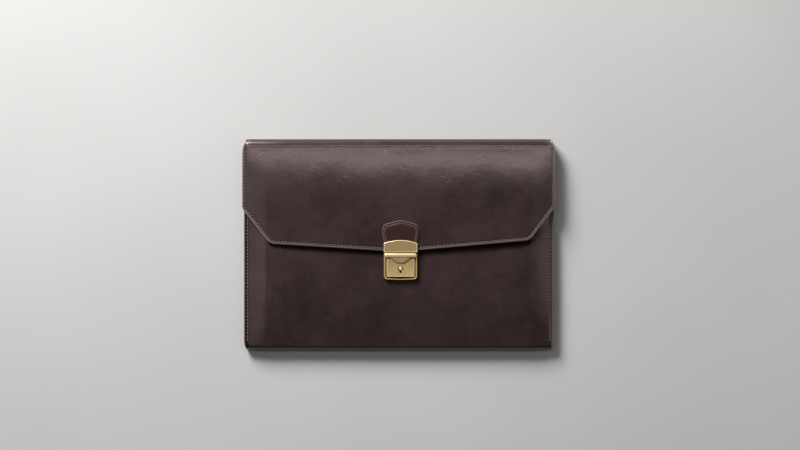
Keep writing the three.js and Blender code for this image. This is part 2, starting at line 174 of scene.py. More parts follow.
# Sewing
FLAP_SEAM_INSET = 3.2
BODY_SEAM_INSET = 4.1
EDGE_LINE_INSET = 2.4
STITCH_PITCH = 3.73
STITCH_LENGTH = 2.7
TAB_STITCH_PITCH = 2.7
TAB_STITCH_LENGTH = 1.7
TAB_THREAD_RADIUS = 0.4
THREAD_RADIUS = 0.36
STITCH_SLANT = 0.22
CHANNEL_WIDTH = 1.1
CHANNEL_DEPTH = 0.42
EDGE_LINE_WIDTH = 0.8
EDGE_LINE_DEPTH = 0.28
TAB_SEAM_GAP = 20.5

MOUTH_Y = TOP_Y - MOUTH_DROP
BASE_FOLD_Y = BASE_Y + BASE_FOLD_REACH
TOP_FOLD_Y = TOP_Y - TOP_FOLD_REACH

# How often an inset outline is searched for crossings, and how sharp a corner it follows in full.
UNCROSSING_ROUNDS = 5
PATH_LEAN = 0.3
LOOP_LEAN = 0.5

# How many short steps a rounded corner of the flap is drawn with.
CORNER_STEPS = 10

# Points closer than this become one, and faces thinner than this are dissolved.
WELD_DISTANCE = 0.002
FLAT_DISTANCE = 0.0005
SHARP_DEGREES = 40

# Half the stretch over which a surface's slope is taken, for the gussets and for the stitches
GUSSET_SLOPE_STEP = 0.5
STITCH_SLOPE_STEP = 0.4


def mix(a, b, share):
    return a + (b - a) * share


def eased_fall(distance, run):
    """0 at the end of the run and 1 at the edge, starting gently."""
    return np.clip(1 - distance / run, 0, 1) ** 2


# How high the hide's broad, middle and small waves are, and how far round the lock's middle they are calm
WAVE_HEIGHTS = (0.16, 0.1, 0.02)
CALM_Y = -8
CALM_REACH = 42


def unevenness(x, y):
    """The hide's slow waves, which break up its highlights. They fade out round the lock."""
    broad = np.sin(x / 41 + 1.7 * np.sin(y / 53 + 0.4)) * np.sin(y / 33 + 1.1)
    middle = np.sin(x / 14 + 2.1 + 1.3 * np.sin(y / 21)) * np.sin(y / 12 + 1.4 * np.sin(x / 27))
    small = np.sin(x / 6.1 + 1.9 * np.sin(y / 9 + x / 23)) * np.sin(y / 5.3 + 1.5 * np.sin(x / 11))
    calm = 1 - np.exp(-((x - LOCK_X) ** 2 + (y - CALM_Y) ** 2) / CALM_REACH**2)
    return calm * (WAVE_HEIGHTS[0] * broad + WAVE_HEIGHTS[1] * middle + WAVE_HEIGHTS[2] * small)


def crown(y):
    """The front's height along the middle: it falls towards both folds."""
    top_fall = TOP_FALL * eased_fall(TOP_Y - y, TOP_RUN)
    return BODY_DEPTH - top_fall - BASE_FALL * eased_fall(y - BASE_Y, BASE_RUN)


def side_slope(x):
    """0 in the middle and 1 at the side edges, with a soft start."""
    inset = CASE_HALF - np.abs(x)
    share = np.clip(1 - inset / SHOULDER_WIDTH, 0, 1)
    return (1 + SHOULDER_SOFTNESS) * share * share / (share + SHOULDER_SOFTNESS)


def front_outer(x, y):
    middle = crown(y)
    return mix(middle, np.minimum(SIDE_DEPTH, middle), side_slope(x))


def flap_outer(x, y):
    middle = crown(y)
    return middle + FLAP_CLEARANCE + HIDE - FLAP_FOLLOW * (middle - front_outer(x, y))


def front_face(x, y):
    return front_outer(x, y) + unevenness(x, y)


def flap_face(x, y):
    return flap_outer(x, y) + unevenness(x, y)


def slopes(surface, x, y, step):
    """How steeply a surface rises along X and along Y."""
    slope_x = (surface(x + step, y) - surface(x - step, y)) / (2 * step)
    slope_y = (surface(x, y + step) - surface(x, y - step)) / (2 * step)
    return slope_x, slope_y


def back_face(x, y):
    return 0 * (x + y)


def pinch(y):
    """How far each side draws in towards the folds."""
    top_pinch = TOP_PINCH * eased_fall(TOP_Y - y, TOP_PINCH_RUN)
    return top_pinch + BASE_PINCH * eased_fall(y - BASE_Y, BASE_PINCH_RUN)


def narrowed(half, y):
    return half - pinch(y)


def corner_arc(before, corner, after, radius, steps=CORNER_STEPS):
    """The arc that rounds the corner between two straight edges."""
    before, corner, after = Vector(before), Vector(corner), Vector(after)
    to_before = (before - corner).normalized()
    to_after = (after - corner).normalized()
    half_angle = to_before.angle(to_after) / 2
    centre = corner + (to_before + to_after).normalized() * radius / math.sin(half_angle)
    start = corner + to_before * radius / math.tan(half_angle) - centre
    end = corner + to_after * radius / math.tan(half_angle) - centre
    turn = math.atan2(start.x * end.y - start.y * end.x, start.dot(end))
    points = []
    for i in range(steps + 1):
        angle = turn * i / steps
        cos, sin = math.cos(angle), math.sin(angle)
        points.append((centre.x + start.x * cos - start.y * sin, centre.y + start.x * sin + start.y * cos))
    return points


def rounded_outline(corners, radii, steps=8):
    """A closed outline whose corners are rounded, each by its own radius."""
    points = []
    count = len(corners)
    for i, (corner, radius) in enumerate(zip(corners, radii)):
        points += corner_arc(corners[i - 1], corner, corners[(i + 1) % count], radius, steps)
    return points


def rectangle(left, right, low, high):
    return [(left, low), (right, low), (right, high), (left, high)]


def moved_left(point, before, after, distance, least_lean):
    """A corner between two steps of an outline, moved to their left by a distance."""
    before, after = before.normalized(), after.normalized()
    left = Vector((-before.y - after.y, before.x + after.x)).normalized()
    lean = max(least_lean, left.dot(Vector((-after.y, after.x))))
    return (point[0] + left.x * distance / lean, point[1] + left.y * distance / lean)


def inset_path(path, distance):
    """An open path moved to its left by a distance."""
    steps = [Vector(b) - Vector(a) for a, b in zip(path, path[1:])]
    befores = [steps[0], *steps]
    afters = [*steps, steps[-1]]
    return [moved_left(*corner, distance, PATH_LEAN) for corner in zip(path, befores, afters)]


def inset_loop(loop, distance):
    """A closed anticlockwise outline moved inwards by a distance."""
    steps = [Vector(point) - Vector(loop[i - 1]) for i, point in enumerate(loop)]
    afters = [*steps[1:], steps[0]]
    moved = [moved_left(*corner, distance, LOOP_LEAN) for corner in zip(loop, steps, afters)]
    for _ in range(UNCROSSING_ROUNDS):
        moved = uncrossed(loop, moved)
    return moved


def uncrossed(loop, moved):
    """Gathers the points of each short arc that an inset has turned inside out at the corner that is left."""
    count = len(loop)
    reversed_steps = []
    for i in range(count):
        step = Vector(loop[(i + 1) % count]) - Vector(loop[i])
        moved_step = Vector(moved[(i + 1) % count]) - Vector(moved[i])
        reversed_steps.append(step.dot(moved_step) <= 0)
    if all(reversed_steps):
        return moved
    for first in range(count):
        if not reversed_steps[first] or reversed_steps[first - 1]:
            continue
        length = 1
        while reversed_steps[(first + length) % count]:
            length += 1
        last = (first + length) % count
        before = (moved[first - 1], moved[first])
        after = (moved[last], moved[(last + 1) % count])
        corner = crossing(before, after) or moved[first]
        for k in range(length + 1):
            moved[(first + k) % count] = corner
    return moved


def crossing(line, other):
    """The point where two straight lines meet, or None if they are parallel."""
    a, b = Vector(line[0]), Vector(line[1])
    c, d = Vector(other[0]), Vector(other[1])
    way, other_way = b - a, d - c
    spread = way.x * other_way.y - way.y * other_way.x
    if abs(spread) < 1e-9:
        return None
    share = ((c.x - a.x) * other_way.y - (c.y - a.y) * other_way.x) / spread
    return (a.x + way.x * share, a.y + way.y * share)


def smooth_path(stops, steps=6):
    """A curve that runs smoothly through each stop."""
    points = []
    last = len(stops) - 1
    for i in range(last):
        a, b, c, d = (Vector(stops[min(max(i + k, 0), last)]) for k in (-1, 0, 1, 2))
        for step in range(steps):
            t = step / steps
            bend = (c - a) * t + (2 * a - 5 * b + 4 * c - d) * t * t + (3 * b - a - 3 * c + d) * t**3
            points.append(tuple(b + bend / 2))
    return [*points, stops[-1]]


def flap_edge(inset=0.0):
    """The flap's lower edge from its left side to its right side, moved inwards by a distance."""
    turns = [(t["across"] * FLAP_HALF, TOP_Y - t["reach"] * FLAP_LENGTH) for t in FLAP_TURNS]
    stops = [(turns[0][0], TOP_Y), *turns, (turns[-1][0], TOP_Y)]
    stops = inset_path(stops, inset)
    points = []
    for i, turn in enumerate(FLAP_TURNS):
        points += corner_arc(stops[i], stops[i + 1], stops[i + 2], turn["radius"] - inset)
    return [stops[0], *points, stops[-1]]


FLAP_EDGE = flap_edge()
FLAP_EDGE_ARC = FLAP_EDGE[1:-1]
# The stretch that throws its shadow on the front, from the middle of the lower left corner to the right side.
SHADED_EDGE_START = CORNER_STEPS + 1 + CORNER_STEPS * 7 // 10
SHADED_EDGE = FLAP_EDGE[SHADED_EDGE_START:]


def flap_edge_y(x):
    return np.interp(x, [p[0] for p in FLAP_EDGE_ARC], [p[1] for p in FLAP_EDGE_ARC])


def distance_to_path(x, y, path):
    """The distance of each point to the nearest stretch of a path."""
    nearest = np.full(np.broadcast(x, y).shape, 1e9)
    for (ax, ay), (bx, by) in zip(path, path[1:]):
        dx, dy = bx - ax, by - ay
        length = dx * dx + dy * dy
        if length == 0:
            continue
        share = np.clip(((x - ax) * dx + (y - ay) * dy) / length, 0, 1)
        nearest = np.minimum(nearest, np.hypot(x - ax - share * dx, y - ay - share * dy))
    return nearest


# Meshes


def make_mesh(name, vertices, faces, materials, smooth=True, slots=None, wear_and_painted_light=None):
    """A piece from vertices in millimetres. Each face may have a material slot, and each vertex its wear."""
    mesh = bpy.data.meshes.new(name)
    mesh.from_pydata([(x * MM, y * MM, z * MM) for x, y, z in vertices], [], faces)
    for material in materials:
        mesh.materials.append(material)
    if slots is not None:
        mesh.polygons.foreach_set("material_index", slots)
    if wear_and_painted_light is not None:
        mesh.attributes.new("wear_and_painted_light", "FLOAT", "POINT").data.foreach_set("value", wear_and_painted_light)
    piece = bpy.data.objects.new(name, mesh)
    bpy.context.scene.collection.objects.link(piece)
    finish_mesh(mesh, smooth)
    return piece


def finish_mesh(mesh, smooth=True):
    """Closes small cracks, turns the faces out and smooths the shading, but keeps the sharp edges."""
    edit = bmesh.new()
    edit.from_mesh(mesh)
    bmesh.ops.remove_doubles(edit, verts=edit.verts, dist=WELD_DISTANCE * MM)
    bmesh.ops.dissolve_degenerate(edit, dist=FLAT_DISTANCE * MM, edges=edit.edges)
    bmesh.ops.recalc_face_normals(edit, faces=edit.faces)
    edit.to_mesh(mesh)
    edit.free()
    for polygon in mesh.polygons:
        polygon.use_smooth = smooth
    mesh.set_sharp_from_angle(angle=math.radians(SHARP_DEGREES))


def carry_wear_and_painted_light(mesh, sources):
    """Gives each vertex the wear of the nearest vertex of the solids that the mesh was made from."""
    places = []
    for source in sources:
        for vertex, worn in zip(source.vertices, source.attributes["wear_and_painted_light"].data):
            places.append((vertex.co, worn.value))
    tree = KDTree(len(places))
    for i, (place, worn) in enumerate(places):
        tree.insert(place, i)
    tree.balance()
    wear_and_painted_light = mesh.attributes["wear_and_painted_light"].data
    for vertex in mesh.vertices:
        wear_and_painted_light[vertex.index].value = places[tree.find(vertex.co)[1]][1]


def combine(piece, other, operation):
    """Joins another solid to a piece, or cuts it out of the piece, and takes the other one away."""
    modifier = piece.modifiers.new("combine", "BOOLEAN")
    modifier.operation = operation
    modifier.solver = "EXACT"
    modifier.object = other
    evaluated = piece.evaluated_get(bpy.context.evaluated_depsgraph_get())
    mesh = bpy.data.meshes.new_from_object(evaluated)
    carry_wear_and_painted_light(mesh, (piece.data, other.data))
    piece.modifiers.clear()
    piece.data = mesh
    bpy.data.objects.remove(other)
    finish_mesh(mesh)


def bridge(start, count, flip=False):
    """The quads between a ring of vertices and the next one."""
    quads = []
    for i in range(count):
        j = (i + 1) % count
        quad = (start + i, start + j, start + count + j, start + count + i)
        quads.append(quad[::-1] if flip else quad)
    return quads


def ring_solid(name, rings, materials, hole_rings=()):
    """A closed solid through flat rings, each with its height and wear. A hole may pierce the solid."""
    vertices, faces, wear_and_painted_light = [], [], []
    ends = []
    for group, flip in ((rings, False), (hole_rings, True)):
        first = len(vertices)
        for index, (outline, height, worn) in enumerate(group):
            start = len(vertices)
            vertices += [(px, py, height) for px, py in outline]
            wear_and_painted_light += [worn] * len(outline)
            if index:
                faces += bridge(start - len(outline), len(outline), flip)
        if group:
            count = len(group[0][0])
            ends.append((range(first, first + count), range(len(vertices) - count, len(vertices))))
    for end, reverse in ((0, True), (1, False)):
        borders = [without_doubles(group_ends[end], vertices) for group_ends in ends]
        flat = [index for border in borders for index in border]
        polygons = [[Vector((vertices[i][0], vertices[i][1], 0)) for i in border] for border in borders]
        for triangle in tessellate_polygon(polygons):
            corners = tuple(flat[i] for i in triangle)
            faces.append(corners[::-1] if reverse else corners)
    return make_mesh(name, vertices, faces, materials, wear_and_painted_light=wear_and_painted_light)


def without_doubles(border, vertices):
    """The border's vertices, without those that lie on the one before."""
    kept = []
    for k, index in enumerate(border):
        if math.dist(vertices[index], vertices[border[k - 1]]) > WELD_DISTANCE:
            kept.append(index)
    return kept


def plate_rings(outline, profile):
    """The rings of a plate: each step of the profile gives an inset, a height and a wear."""
    return [(inset_loop(outline, inset), height, worn) for inset, height, worn in profile]


def mirrored(outline):
    """The other half of an outline, in the order that goes on from this one."""
    return [(-x, y) for x, y in reversed(outline)]


def shifted(outline, dx):
    return [(x + dx, y) for x, y in outline]


# Materials


class Graph:
    """A material's nodes. Each call adds a node and gives its output. A scale is in waves to the metre."""

    def __init__(self, name):
        self.material = bpy.data.materials.new(name)
        self.material.use_nodes = True
        self.nodes = self.material.node_tree.nodes
        self.shader = self.nodes["Principled BSDF"].inputs
        self.place = self.nodes.new("ShaderNodeTexCoord").outputs["Object"]

    def feed(self, socket, value):
        """Links a node's output to a socket, or sets the socket to a plain value."""
        if isinstance(value, bpy.types.NodeSocket):
            self.material.node_tree.links.new(value, socket)
        else:
            socket.default_value = value

    def fed(self, node, output, inputs):
        for name, value in inputs.items():
            self.feed(node.inputs[name], value)
        return node.outputs[output]

    def noise(self, scale, detail=3.0, roughness=0.5, stretch=None):
        place = self.place
        if stretch:
            mapping = self.nodes.new("ShaderNodeMapping")
            place = self.fed(mapping, "Vector", {"Vector": place, "Scale": stretch})
        inputs = {"Vector": place, "Scale": scale, "Detail": detail, "Roughness": roughness}
        return self.fed(self.nodes.new("ShaderNodeTexNoise"), "Fac", inputs)

    def pores(self, scale):
        texture = self.nodes.new("ShaderNodeTexVoronoi")
        texture.feature = "SMOOTH_F1"
        return self.fed(texture, "Distance", {"Vector": self.place, "Scale": scale})

    def ramp(self, source, low, high, start=0.3, end=0.7):
        """A colour that runs from low to high while the source runs from start to end."""
        node = self.nodes.new("ShaderNodeValToRGB")
        for element, place, colour in zip(node.color_ramp.elements, (start, end), (low, high)):
            element.position = place
            element.color = (*colour, 1)
        return self.fed(node, "Color", {"Fac": source})

    def span(self, source, low, high, start=0.0, end=1.0):
        """A number that runs from low to high while the source runs from start to end."""
        inputs = {"Value": source, "From Min": start, "From Max": end, "To Min": low, "To Max": high}
        return self.fed(self.nodes.new("ShaderNodeMapRange"), "Result", inputs)

    def mix(self, fraction, a, b, blend="MIX"):
        node = self.nodes.new("ShaderNodeMix")
        node.data_type = "RGBA"
        node.blend_type = blend
        return self.fed(node, "Result", {"Factor": fraction, "A": a, "B": b})

    def product(self, a, b):
        node = self.nodes.new("ShaderNodeMath")
        node.operation = "MULTIPLY"
        return self.fed(node, "Value", {0: a, 1: b})

    def bump(self, height, distance, strength, below=None):
        inputs = {"Height": height, "Distance": distance, "Strength": strength}
        if below:
            inputs["Normal"] = below
        return self.fed(self.nodes.new("ShaderNodeBump"), "Normal", inputs)

    def wear_and_painted_light(self):
        """The attribute's two halves: polish together with painted light, and dirt together with painted
        shade.
        """
        node = self.nodes.new("ShaderNodeAttribute")
        node.attribute_name = "wear_and_painted_light"
        wear_and_painted_light = node.outputs["Fac"]
        return self.span(wear_and_painted_light, 0, 1), self.span(wear_and_painted_light, 1, 0, -1, 0)


# Each texture's scale in waves to the metre, and the height of its relief in metres
CLOUD_SCALE = 26
FLECK_SCALE = 150
CREASE_SCALE, CREASE_HEIGHT = 190, 0.0006
DENT_SCALE, DENT_HEIGHT = 420, 0.00012
PORE_SCALE, PORE_HEIGHT = 1300, 0.00006
NAP_SCALE, NAP_HEIGHT = 900, 0.0002
PLY_SCALE, PLY_HEIGHT = 1800, 0.0001
TARNISH_SCALE = 130
PIT_SCALE, PIT_HEIGHT = 700, 0.00006
BRUSH_SCALE, BRUSH_HEIGHT = 900, 0.00004
BRUSH_STRETCH = (0.06, 1, 1)
FLOOR_SCALE = 3


def leather(name, dark, light, worn, gloss, roughness):
    """Waxed smooth leather: cloudy and finely pored, lighter on rubbed edges and with painted light, and dark
    with wax and with painted shade.
    """
    graph = Graph(name)
    clouds = graph.noise(CLOUD_SCALE, 5, 0.6)
    flecks = graph.ramp(graph.noise(FLECK_SCALE, 4, 0.6), (0.84, 0.84, 0.84), (1.1, 1.09, 1.09), 0.25, 0.75)
    colour = graph.mix(1.0, graph.ramp(clouds, dark, light, 0.32), flecks, "MULTIPLY")
    polish_and_light, dirt_and_shade = graph.wear_and_painted_light()
    colour = graph.mix(polish_and_light, colour, (*worn, 1))
    graph.feed(graph.shader["Base Color"], graph.mix(dirt_and_shade, colour, (*LEATHER_GRIME_AND_SHADE, 1)))
    graph.shader["Specular IOR Level"].default_value = gloss
    graph.shader["Specular Tint"].default_value = WAX_TINT
    finish = graph.span(clouds, roughness - 0.03, roughness + 0.05)
    care = graph.product(graph.span(dirt_and_shade, 1, WAX_SMOOTHNESS), graph.span(polish_and_light, 1, WORN_ROUGHNESS))
    graph.feed(graph.shader["Roughness"], graph.product(finish, care))
    relief = graph.span(dirt_and_shade, GRAIN, 0)
    creased = graph.bump(graph.noise(CREASE_SCALE, 4, 0.65), CREASE_HEIGHT, relief)
    dented = graph.bump(graph.noise(DENT_SCALE, 3, 0.6), DENT_HEIGHT, relief, creased)
    pored = graph.bump(graph.pores(PORE_SCALE), PORE_HEIGHT, relief, dented)
    graph.feed(graph.shader["Normal"], pored)
    return graph.material


def suede(name, dark, light):
    graph = Graph(name)
    nap = graph.noise(NAP_SCALE, 4, 0.7)
    graph.feed(graph.shader["Base Color"], graph.ramp(nap, dark, light))
    graph.shader["Roughness"].default_value = 0.95
    graph.shader["Sheen Weight"].default_value = 0.25
    graph.shader["Sheen Roughness"].default_value = 0.5
    graph.feed(graph.shader["Normal"], graph.bump(nap, NAP_HEIGHT, 0.5))
    return graph.material


def waxed_thread(name, dark, light):
    graph = Graph(name)
    plies = graph.noise(PLY_SCALE, 3, 0.6)
    graph.feed(graph.shader["Base Color"], graph.ramp(plies, dark, light))
    graph.shader["Roughness"].default_value = 0.5
    graph.feed(graph.shader["Normal"], graph.bump(plies, PLY_HEIGHT, 0.4))
    return graph.material


def aged_brass(name, dull, bright, polished, grime_and_shade, roughness):
    """Satin brass, cloudily tarnished and faintly brushed, with polished edges and painted highlights, and
    dark grime with painted shade in the recesses.
    """
    graph = Graph(name)
    tarnish = graph.noise(TARNISH_SCALE, 6, 0.62)
    polish_and_light, dirt_and_shade = graph.wear_and_painted_light()
    colour = graph.mix(polish_and_light, graph.ramp(tarnish, dull, bright, 0.34, 0.66), (*polished, 1))
    graph.feed(graph.shader["Base Color"], graph.mix(dirt_and_shade, colour, (*grime_and_shade, 1)))
    graph.feed(graph.shader["Metallic"], graph.span(dirt_and_shade, BARE_METAL, 0, 0.5))
    graph.shader["Specular IOR Level"].default_value = TARNISH_GLOSS
    graph.shader["Specular Tint"].default_value = BRASS_TINT
    graph.feed(graph.shader["Roughness"], graph.span(tarnish, roughness + 0.08, roughness - 0.05))
    pitted = graph.bump(graph.noise(PIT_SCALE, 4, 0.6), PIT_HEIGHT, 0.35)
    brushing = graph.noise(BRUSH_SCALE, 3, 0.6, BRUSH_STRETCH)
    graph.feed(graph.shader["Normal"], graph.bump(brushing, BRUSH_HEIGHT, 0.3, pitted))
    return graph.material


def floor_paint(name, dark, light):
    graph = Graph(name)
    graph.feed(graph.shader["Base Color"], graph.ramp(graph.noise(FLOOR_SCALE, 2), dark, light))
    graph.shader["Roughness"].default_value = 0.8
    return graph.material


# The colour of the dark wax in the seams, and of the painted shade under the flap and in the left pressed
# line
LEATHER_GRIME_AND_SHADE = (0.003, 0.0012, 0.001)
LEATHER_GLOSS = 0.9
LEATHER_ROUGHNESS = 0.185
MATT_GLOSS = 0.4
GRAIN = 0.2
# How much smoother the dark wax and the painted shade are than the face
WAX_SMOOTHNESS = 0.5
# How many times rougher a fully worn edge is than the waxed face
WORN_ROUGHNESS = 2.2
WAX_TINT = (1, 0.82, 0.81, 1)
BARE_METAL = 0.72
TARNISH_GLOSS = 0.04
# How much darker the lock rim's lower side is painted, as shade
LOW_SIDE_SHADE = 0.6
BRASS_TINT = (1, 0.76, 0.45, 1)
BRASS_ROUGHNESS = 0.34

# Each leather has a dark, a light and a worn colour, a gloss and a roughness.
LEATHER = leather(
    "dark_leather",
    (0.0255, 0.0152, 0.015),
    (0.041, 0.026, 0.0256),
    (0.25, 0.185, 0.18),
    LEATHER_GLOSS,
    LEATHER_ROUGHNESS,
)
TAB_LEATHER = leather(
    "tab_leather",
    (0.019, 0.0056, 0.0048),
    (0.029, 0.0098, 0.0084),
    (0.14, 0.1, 0.098),
    MATT_GLOSS,
    0.4,
)
GUSSET_LEATHER = leather(
    "gusset_leather",
    (0.026, 0.014, 0.013),
    (0.04, 0.022, 0.021),
    (0.08, 0.05, 0.047),
    MATT_GLOSS,
    0.5,
)
SUEDE = suede("suede", (0.035, 0.021, 0.017), (0.06, 0.038, 0.031))
THREAD = waxed_thread("waxed_thread", (0.15, 0.1, 0.096), (0.28, 0.2, 0.19))
# Brass has a dull, a bright and a polished colour, and the colour of its grime and painted shade.
BRASS = aged_brass(
    "aged_brass",
    (0.86, 0.58, 0.25),
    (0.95, 0.67, 0.31),
    (1, 0.86, 0.58),
    (0.06, 0.022, 0.005),
    BRASS_ROUGHNESS,
)
FLOOR = floor_paint("pale_floor", (0.5, 0.49, 0.48), (0.54, 0.53, 0.52))


# The hide


# Columns of the hide, as distances from a side edge: close at the edge and at the seam
EDGE_COLUMNS = (0, 0.12, 0.35, 0.7, 1.1, 1.45, *np.arange(1.75, 4.5, 0.3), 4.8, 5.2)
SHOULDER_COLUMNS = (5.7, 6.4, 7.3, 8.4, 9.7)
# Between these, round the flap's lower corners, the columns are a fine step apart, and elsewhere a wide one.
CORNER_START = 22.5
CORNER_END = 38
FINE_STEP = 1
WIDE_START = 11.5
WIDE_STEP = 4.2
WIDE_END_GAP = 3
# The columns at the lock's middle, which end this far beside it
TIP_REACH = 2.4
TIP_STEP = 0.8


def side_insets():
    """Column places, as distances from a side edge."""
    corner = np.arange(CORNER_START, CORNER_END, FINE_STEP)
    wide = np.arange(WIDE_START, FLAP_HALF - LOCK_X - WIDE_END_GAP, WIDE_STEP)
    middle = [p for p in wide if p < CORNER_START - FINE_STEP or p > CORNER_END + FINE_STEP]
    return sorted([*EDGE_COLUMNS, *SHOULDER_COLUMNS, *corner, *middle])


def column_shares():
    """The columns as shares of the half width, from -1 at the left edge to 1 at the right one."""
    sides = [(FLAP_HALF - inset) / FLAP_HALF for inset in side_insets()]
    tip = [(LOCK_X + step) / FLAP_HALF for step in np.arange(-TIP_REACH, TIP_REACH + 0.1, TIP_STEP)]
    right = [share for share in sides if share * FLAP_HALF > max(tip) * FLAP_HALF + TIP_STEP]
    left = [-share for share in sides if -share * FLAP_HALF < min(tip) * FLAP_HALF - TIP_STEP]
    return np.array(sorted({*left, *tip, *right}))


# Rows of the hide, as distances from the flap's lower edge, of which the first ones serve at the mouth too
EDGE_ROWS = (0, 0.12, 0.35, 0.7, 1.15, 1.6, 2, 2.4, 2.8, 3.2, 3.6, 4, 4.4, 4.8, 5.25, 5.7, 6.2, 7, 8.2, 9.6)
MOUTH_ROWS = 6
MOUTH_ROWS_END = 3.5
# The rows are close between these heights, where the flap's shadow falls.
SHADE_HIGH_Y = 14
SHADE_LOW_Y = -15
HIGH_ROWS = 16
SHADE_ROWS = 34
LOW_ROWS = 34
BASE_STEPS = 24
BACK_STEPS = 12
TOP_STEPS = 34
FLAP_STEPS = 44


def fold_rows(shares, turns, depth_at, start_y, reach, halves, power):
    """Rows round a fold, each with its own half width."""
    rows = []
    for turn, half in zip(turns, halves):
        angle = turn * math.pi / 2
        out = max(0.0, math.cos(angle)) ** power
        up = math.copysign(abs(math.sin(angle)) ** power, angle)
        y = start_y + reach * out
        depth = depth_at(shares * half, start_y) / 2
        rows.append((shares * narrowed(half, y), np.full_like(shares, y), depth + depth * up))
    return rows


def hide_rows(shares):
    """The hide's outer face, row by row, from the mouth round the base, up the back and over to the flap."""
    rows = []
    x = shares * CASE_HALF
    front_y = [
        *[MOUTH_Y - step for step in EDGE_ROWS[:MOUTH_ROWS]],
        *np.linspace(MOUTH_Y - MOUTH_ROWS_END, SHADE_HIGH_Y, HIGH_ROWS, endpoint=False),
        *np.linspace(SHADE_HIGH_Y, SHADE_LOW_Y, SHADE_ROWS, endpoint=False),
        *np.linspace(SHADE_LOW_Y, BASE_FOLD_Y, LOW_ROWS, endpoint=False),
    ]
    for y in front_y:
        rows.append((shares * narrowed(CASE_HALF, y), np.full_like(x, y), front_face(x, y)))
    base_turns = np.linspace(1, -1, BASE_STEPS, endpoint=False)
    base_halves = [CASE_HALF] * BASE_STEPS
    rows += fold_rows(shares, base_turns, front_face, BASE_FOLD_Y, -BASE_FOLD_REACH, base_halves, 1)
    for y in np.linspace(BASE_FOLD_Y, TOP_FOLD_Y, BACK_STEPS, endpoint=False):
        rows.append((shares * narrowed(CASE_HALF, y), np.full_like(x, y), np.zeros_like(x)))
    top_turns = np.linspace(-1, 1, TOP_STEPS, endpoint=False)
    top_halves = np.linspace(CASE_HALF, FLAP_HALF, TOP_STEPS, endpoint=False)
    rows += fold_rows(shares, top_turns, flap_face, TOP_FOLD_Y, TOP_FOLD_REACH, top_halves, TOP_FOLD_POWER)
    flap_start = len(rows)
    flap_x = shares * FLAP_HALF
    edge_y = flap_edge_y(flap_x)
    start_y = edge_y + EDGE_ROWS[-1]
    for share in np.linspace(0, 1, FLAP_STEPS, endpoint=False):
        y = mix(TOP_FOLD_Y, start_y, share)
        rows.append((shares * narrowed(FLAP_HALF, y), y, flap_face(flap_x, y)))
    for step in reversed(EDGE_ROWS):
        y = edge_y + step
        rows.append((shares * narrowed(FLAP_HALF, y), y, flap_face(flap_x, y)))
    return rows, len(front_y), flap_start


def grid_normals(points):
    """The outer face's direction at each point of the grid, with nothing sideways in it."""
    along = np.gradient(points, axis=0)
    across = np.gradient(points, axis=1)
    normal = np.cross(across, along)
    normal /= np.linalg.norm(normal, axis=2, keepdims=True)
    upright = normal * np.array([0, 1, 1])
    return -upright / np.sum(upright * upright, axis=2, keepdims=True)


def rounded_share(distance, radius):
    """A hide's edge is rounded: 0 at the very edge, 1 from the radius inwards."""
    depth = np.clip(1 - distance / radius, 0, 1)
    return np.sqrt(1 - depth * depth)


def channel_depth(distance, width, depth):
    """A pressed line's depth at a distance from its middle."""
    share = np.clip(1 - distance / width, 0, 1)
    return depth * share * share * (3 - 2 * share)


# How wide the painted shadow under the flap's lower edge is, at places across the case, and how sharply it
# ends
SHADE_PLACES = (-150, -110, -20, 20, 90, 138, 152)
SHADE_WIDTHS = (3, 6, 5.5, 6.5, 8, 8, 4.5)
SHADE_POWER = 4
# How strongly and how widely an edge is rubbed. Two values are for the left and the right half: the right
# half's edges are made lighter and wider with painted light.
BODY_RUB_AND_LIGHT = (0.6, 0.8)
BODY_RUB_AND_LIGHT_WIDTH = (1.1, 2.2)
FOLD_END_RUB = 0.5
FOLD_END_RUB_WIDTH = 5
FLAP_SIDE_RUB_AND_LIGHT = (0.4, 0.75)
FLAP_SIDE_RUB_AND_LIGHT_WIDTH = (1.6, 2.2)
# The flap's edge is fully rubbed below the first height, and no more than its sides above the second.
FLAP_RUB_Y = (38, 46)
FLAP_RUB_WIDTH = 1.6
SEAM_WAX = 0.8
SEAM_WAX_WIDTH = 0.8
# The pressed line's dark wax on the left and right half; the left half is darker with painted shade.
LINE_WAX_AND_SHADE = (0.9, 0.25)
LINE_WAX_AND_SHADE_WIDTH = 0.9
# The flap's seam fades in over this length, under the top fold.
SEAM_FADE = 3


def fading(distance, width, power=2):
    return np.exp(-((np.abs(distance) / width) ** power))


def by_side(x, values):
    """The first value on the left half, and the second on the right one."""
    return np.where(x < 0, values[0], values[1])


def edge_distances(shares, x, y, front, flap):
    """How far each point lies from the hide's nearest edge, and from its nearest seam."""
    edge = np.abs(x[:, -1:]) - np.abs(x)
    seam_distance = np.abs(edge - BODY_SEAM_INSET)
    edge[front] = np.minimum(edge[front], MOUTH_Y - y[front])
    flap_x = shares[None, :] * FLAP_HALF
    edge[flap] = np.minimum(edge[flap], distance_to_path(flap_x, y[flap], FLAP_EDGE))
    seam_distance[flap] = distance_to_path(flap_x, y[flap], flap_edge(FLAP_SEAM_INSET))
    return edge, seam_distance


def pressed_vertices(outer, edge, groove):
    """The hide's outer face, with its rounded edges and its pressed lines, and then its inner face."""
    out = grid_normals(outer)
    share = rounded_share(edge, HIDE / 2)[:, :, None]
    middle = outer - out * HIDE / 2
    face = middle + out * (share * HIDE / 2 - groove[:, :, None])
    back = middle - out * share * HIDE / 2
    return np.concatenate([face.reshape(-1, 3), back.reshape(-1, 3)])


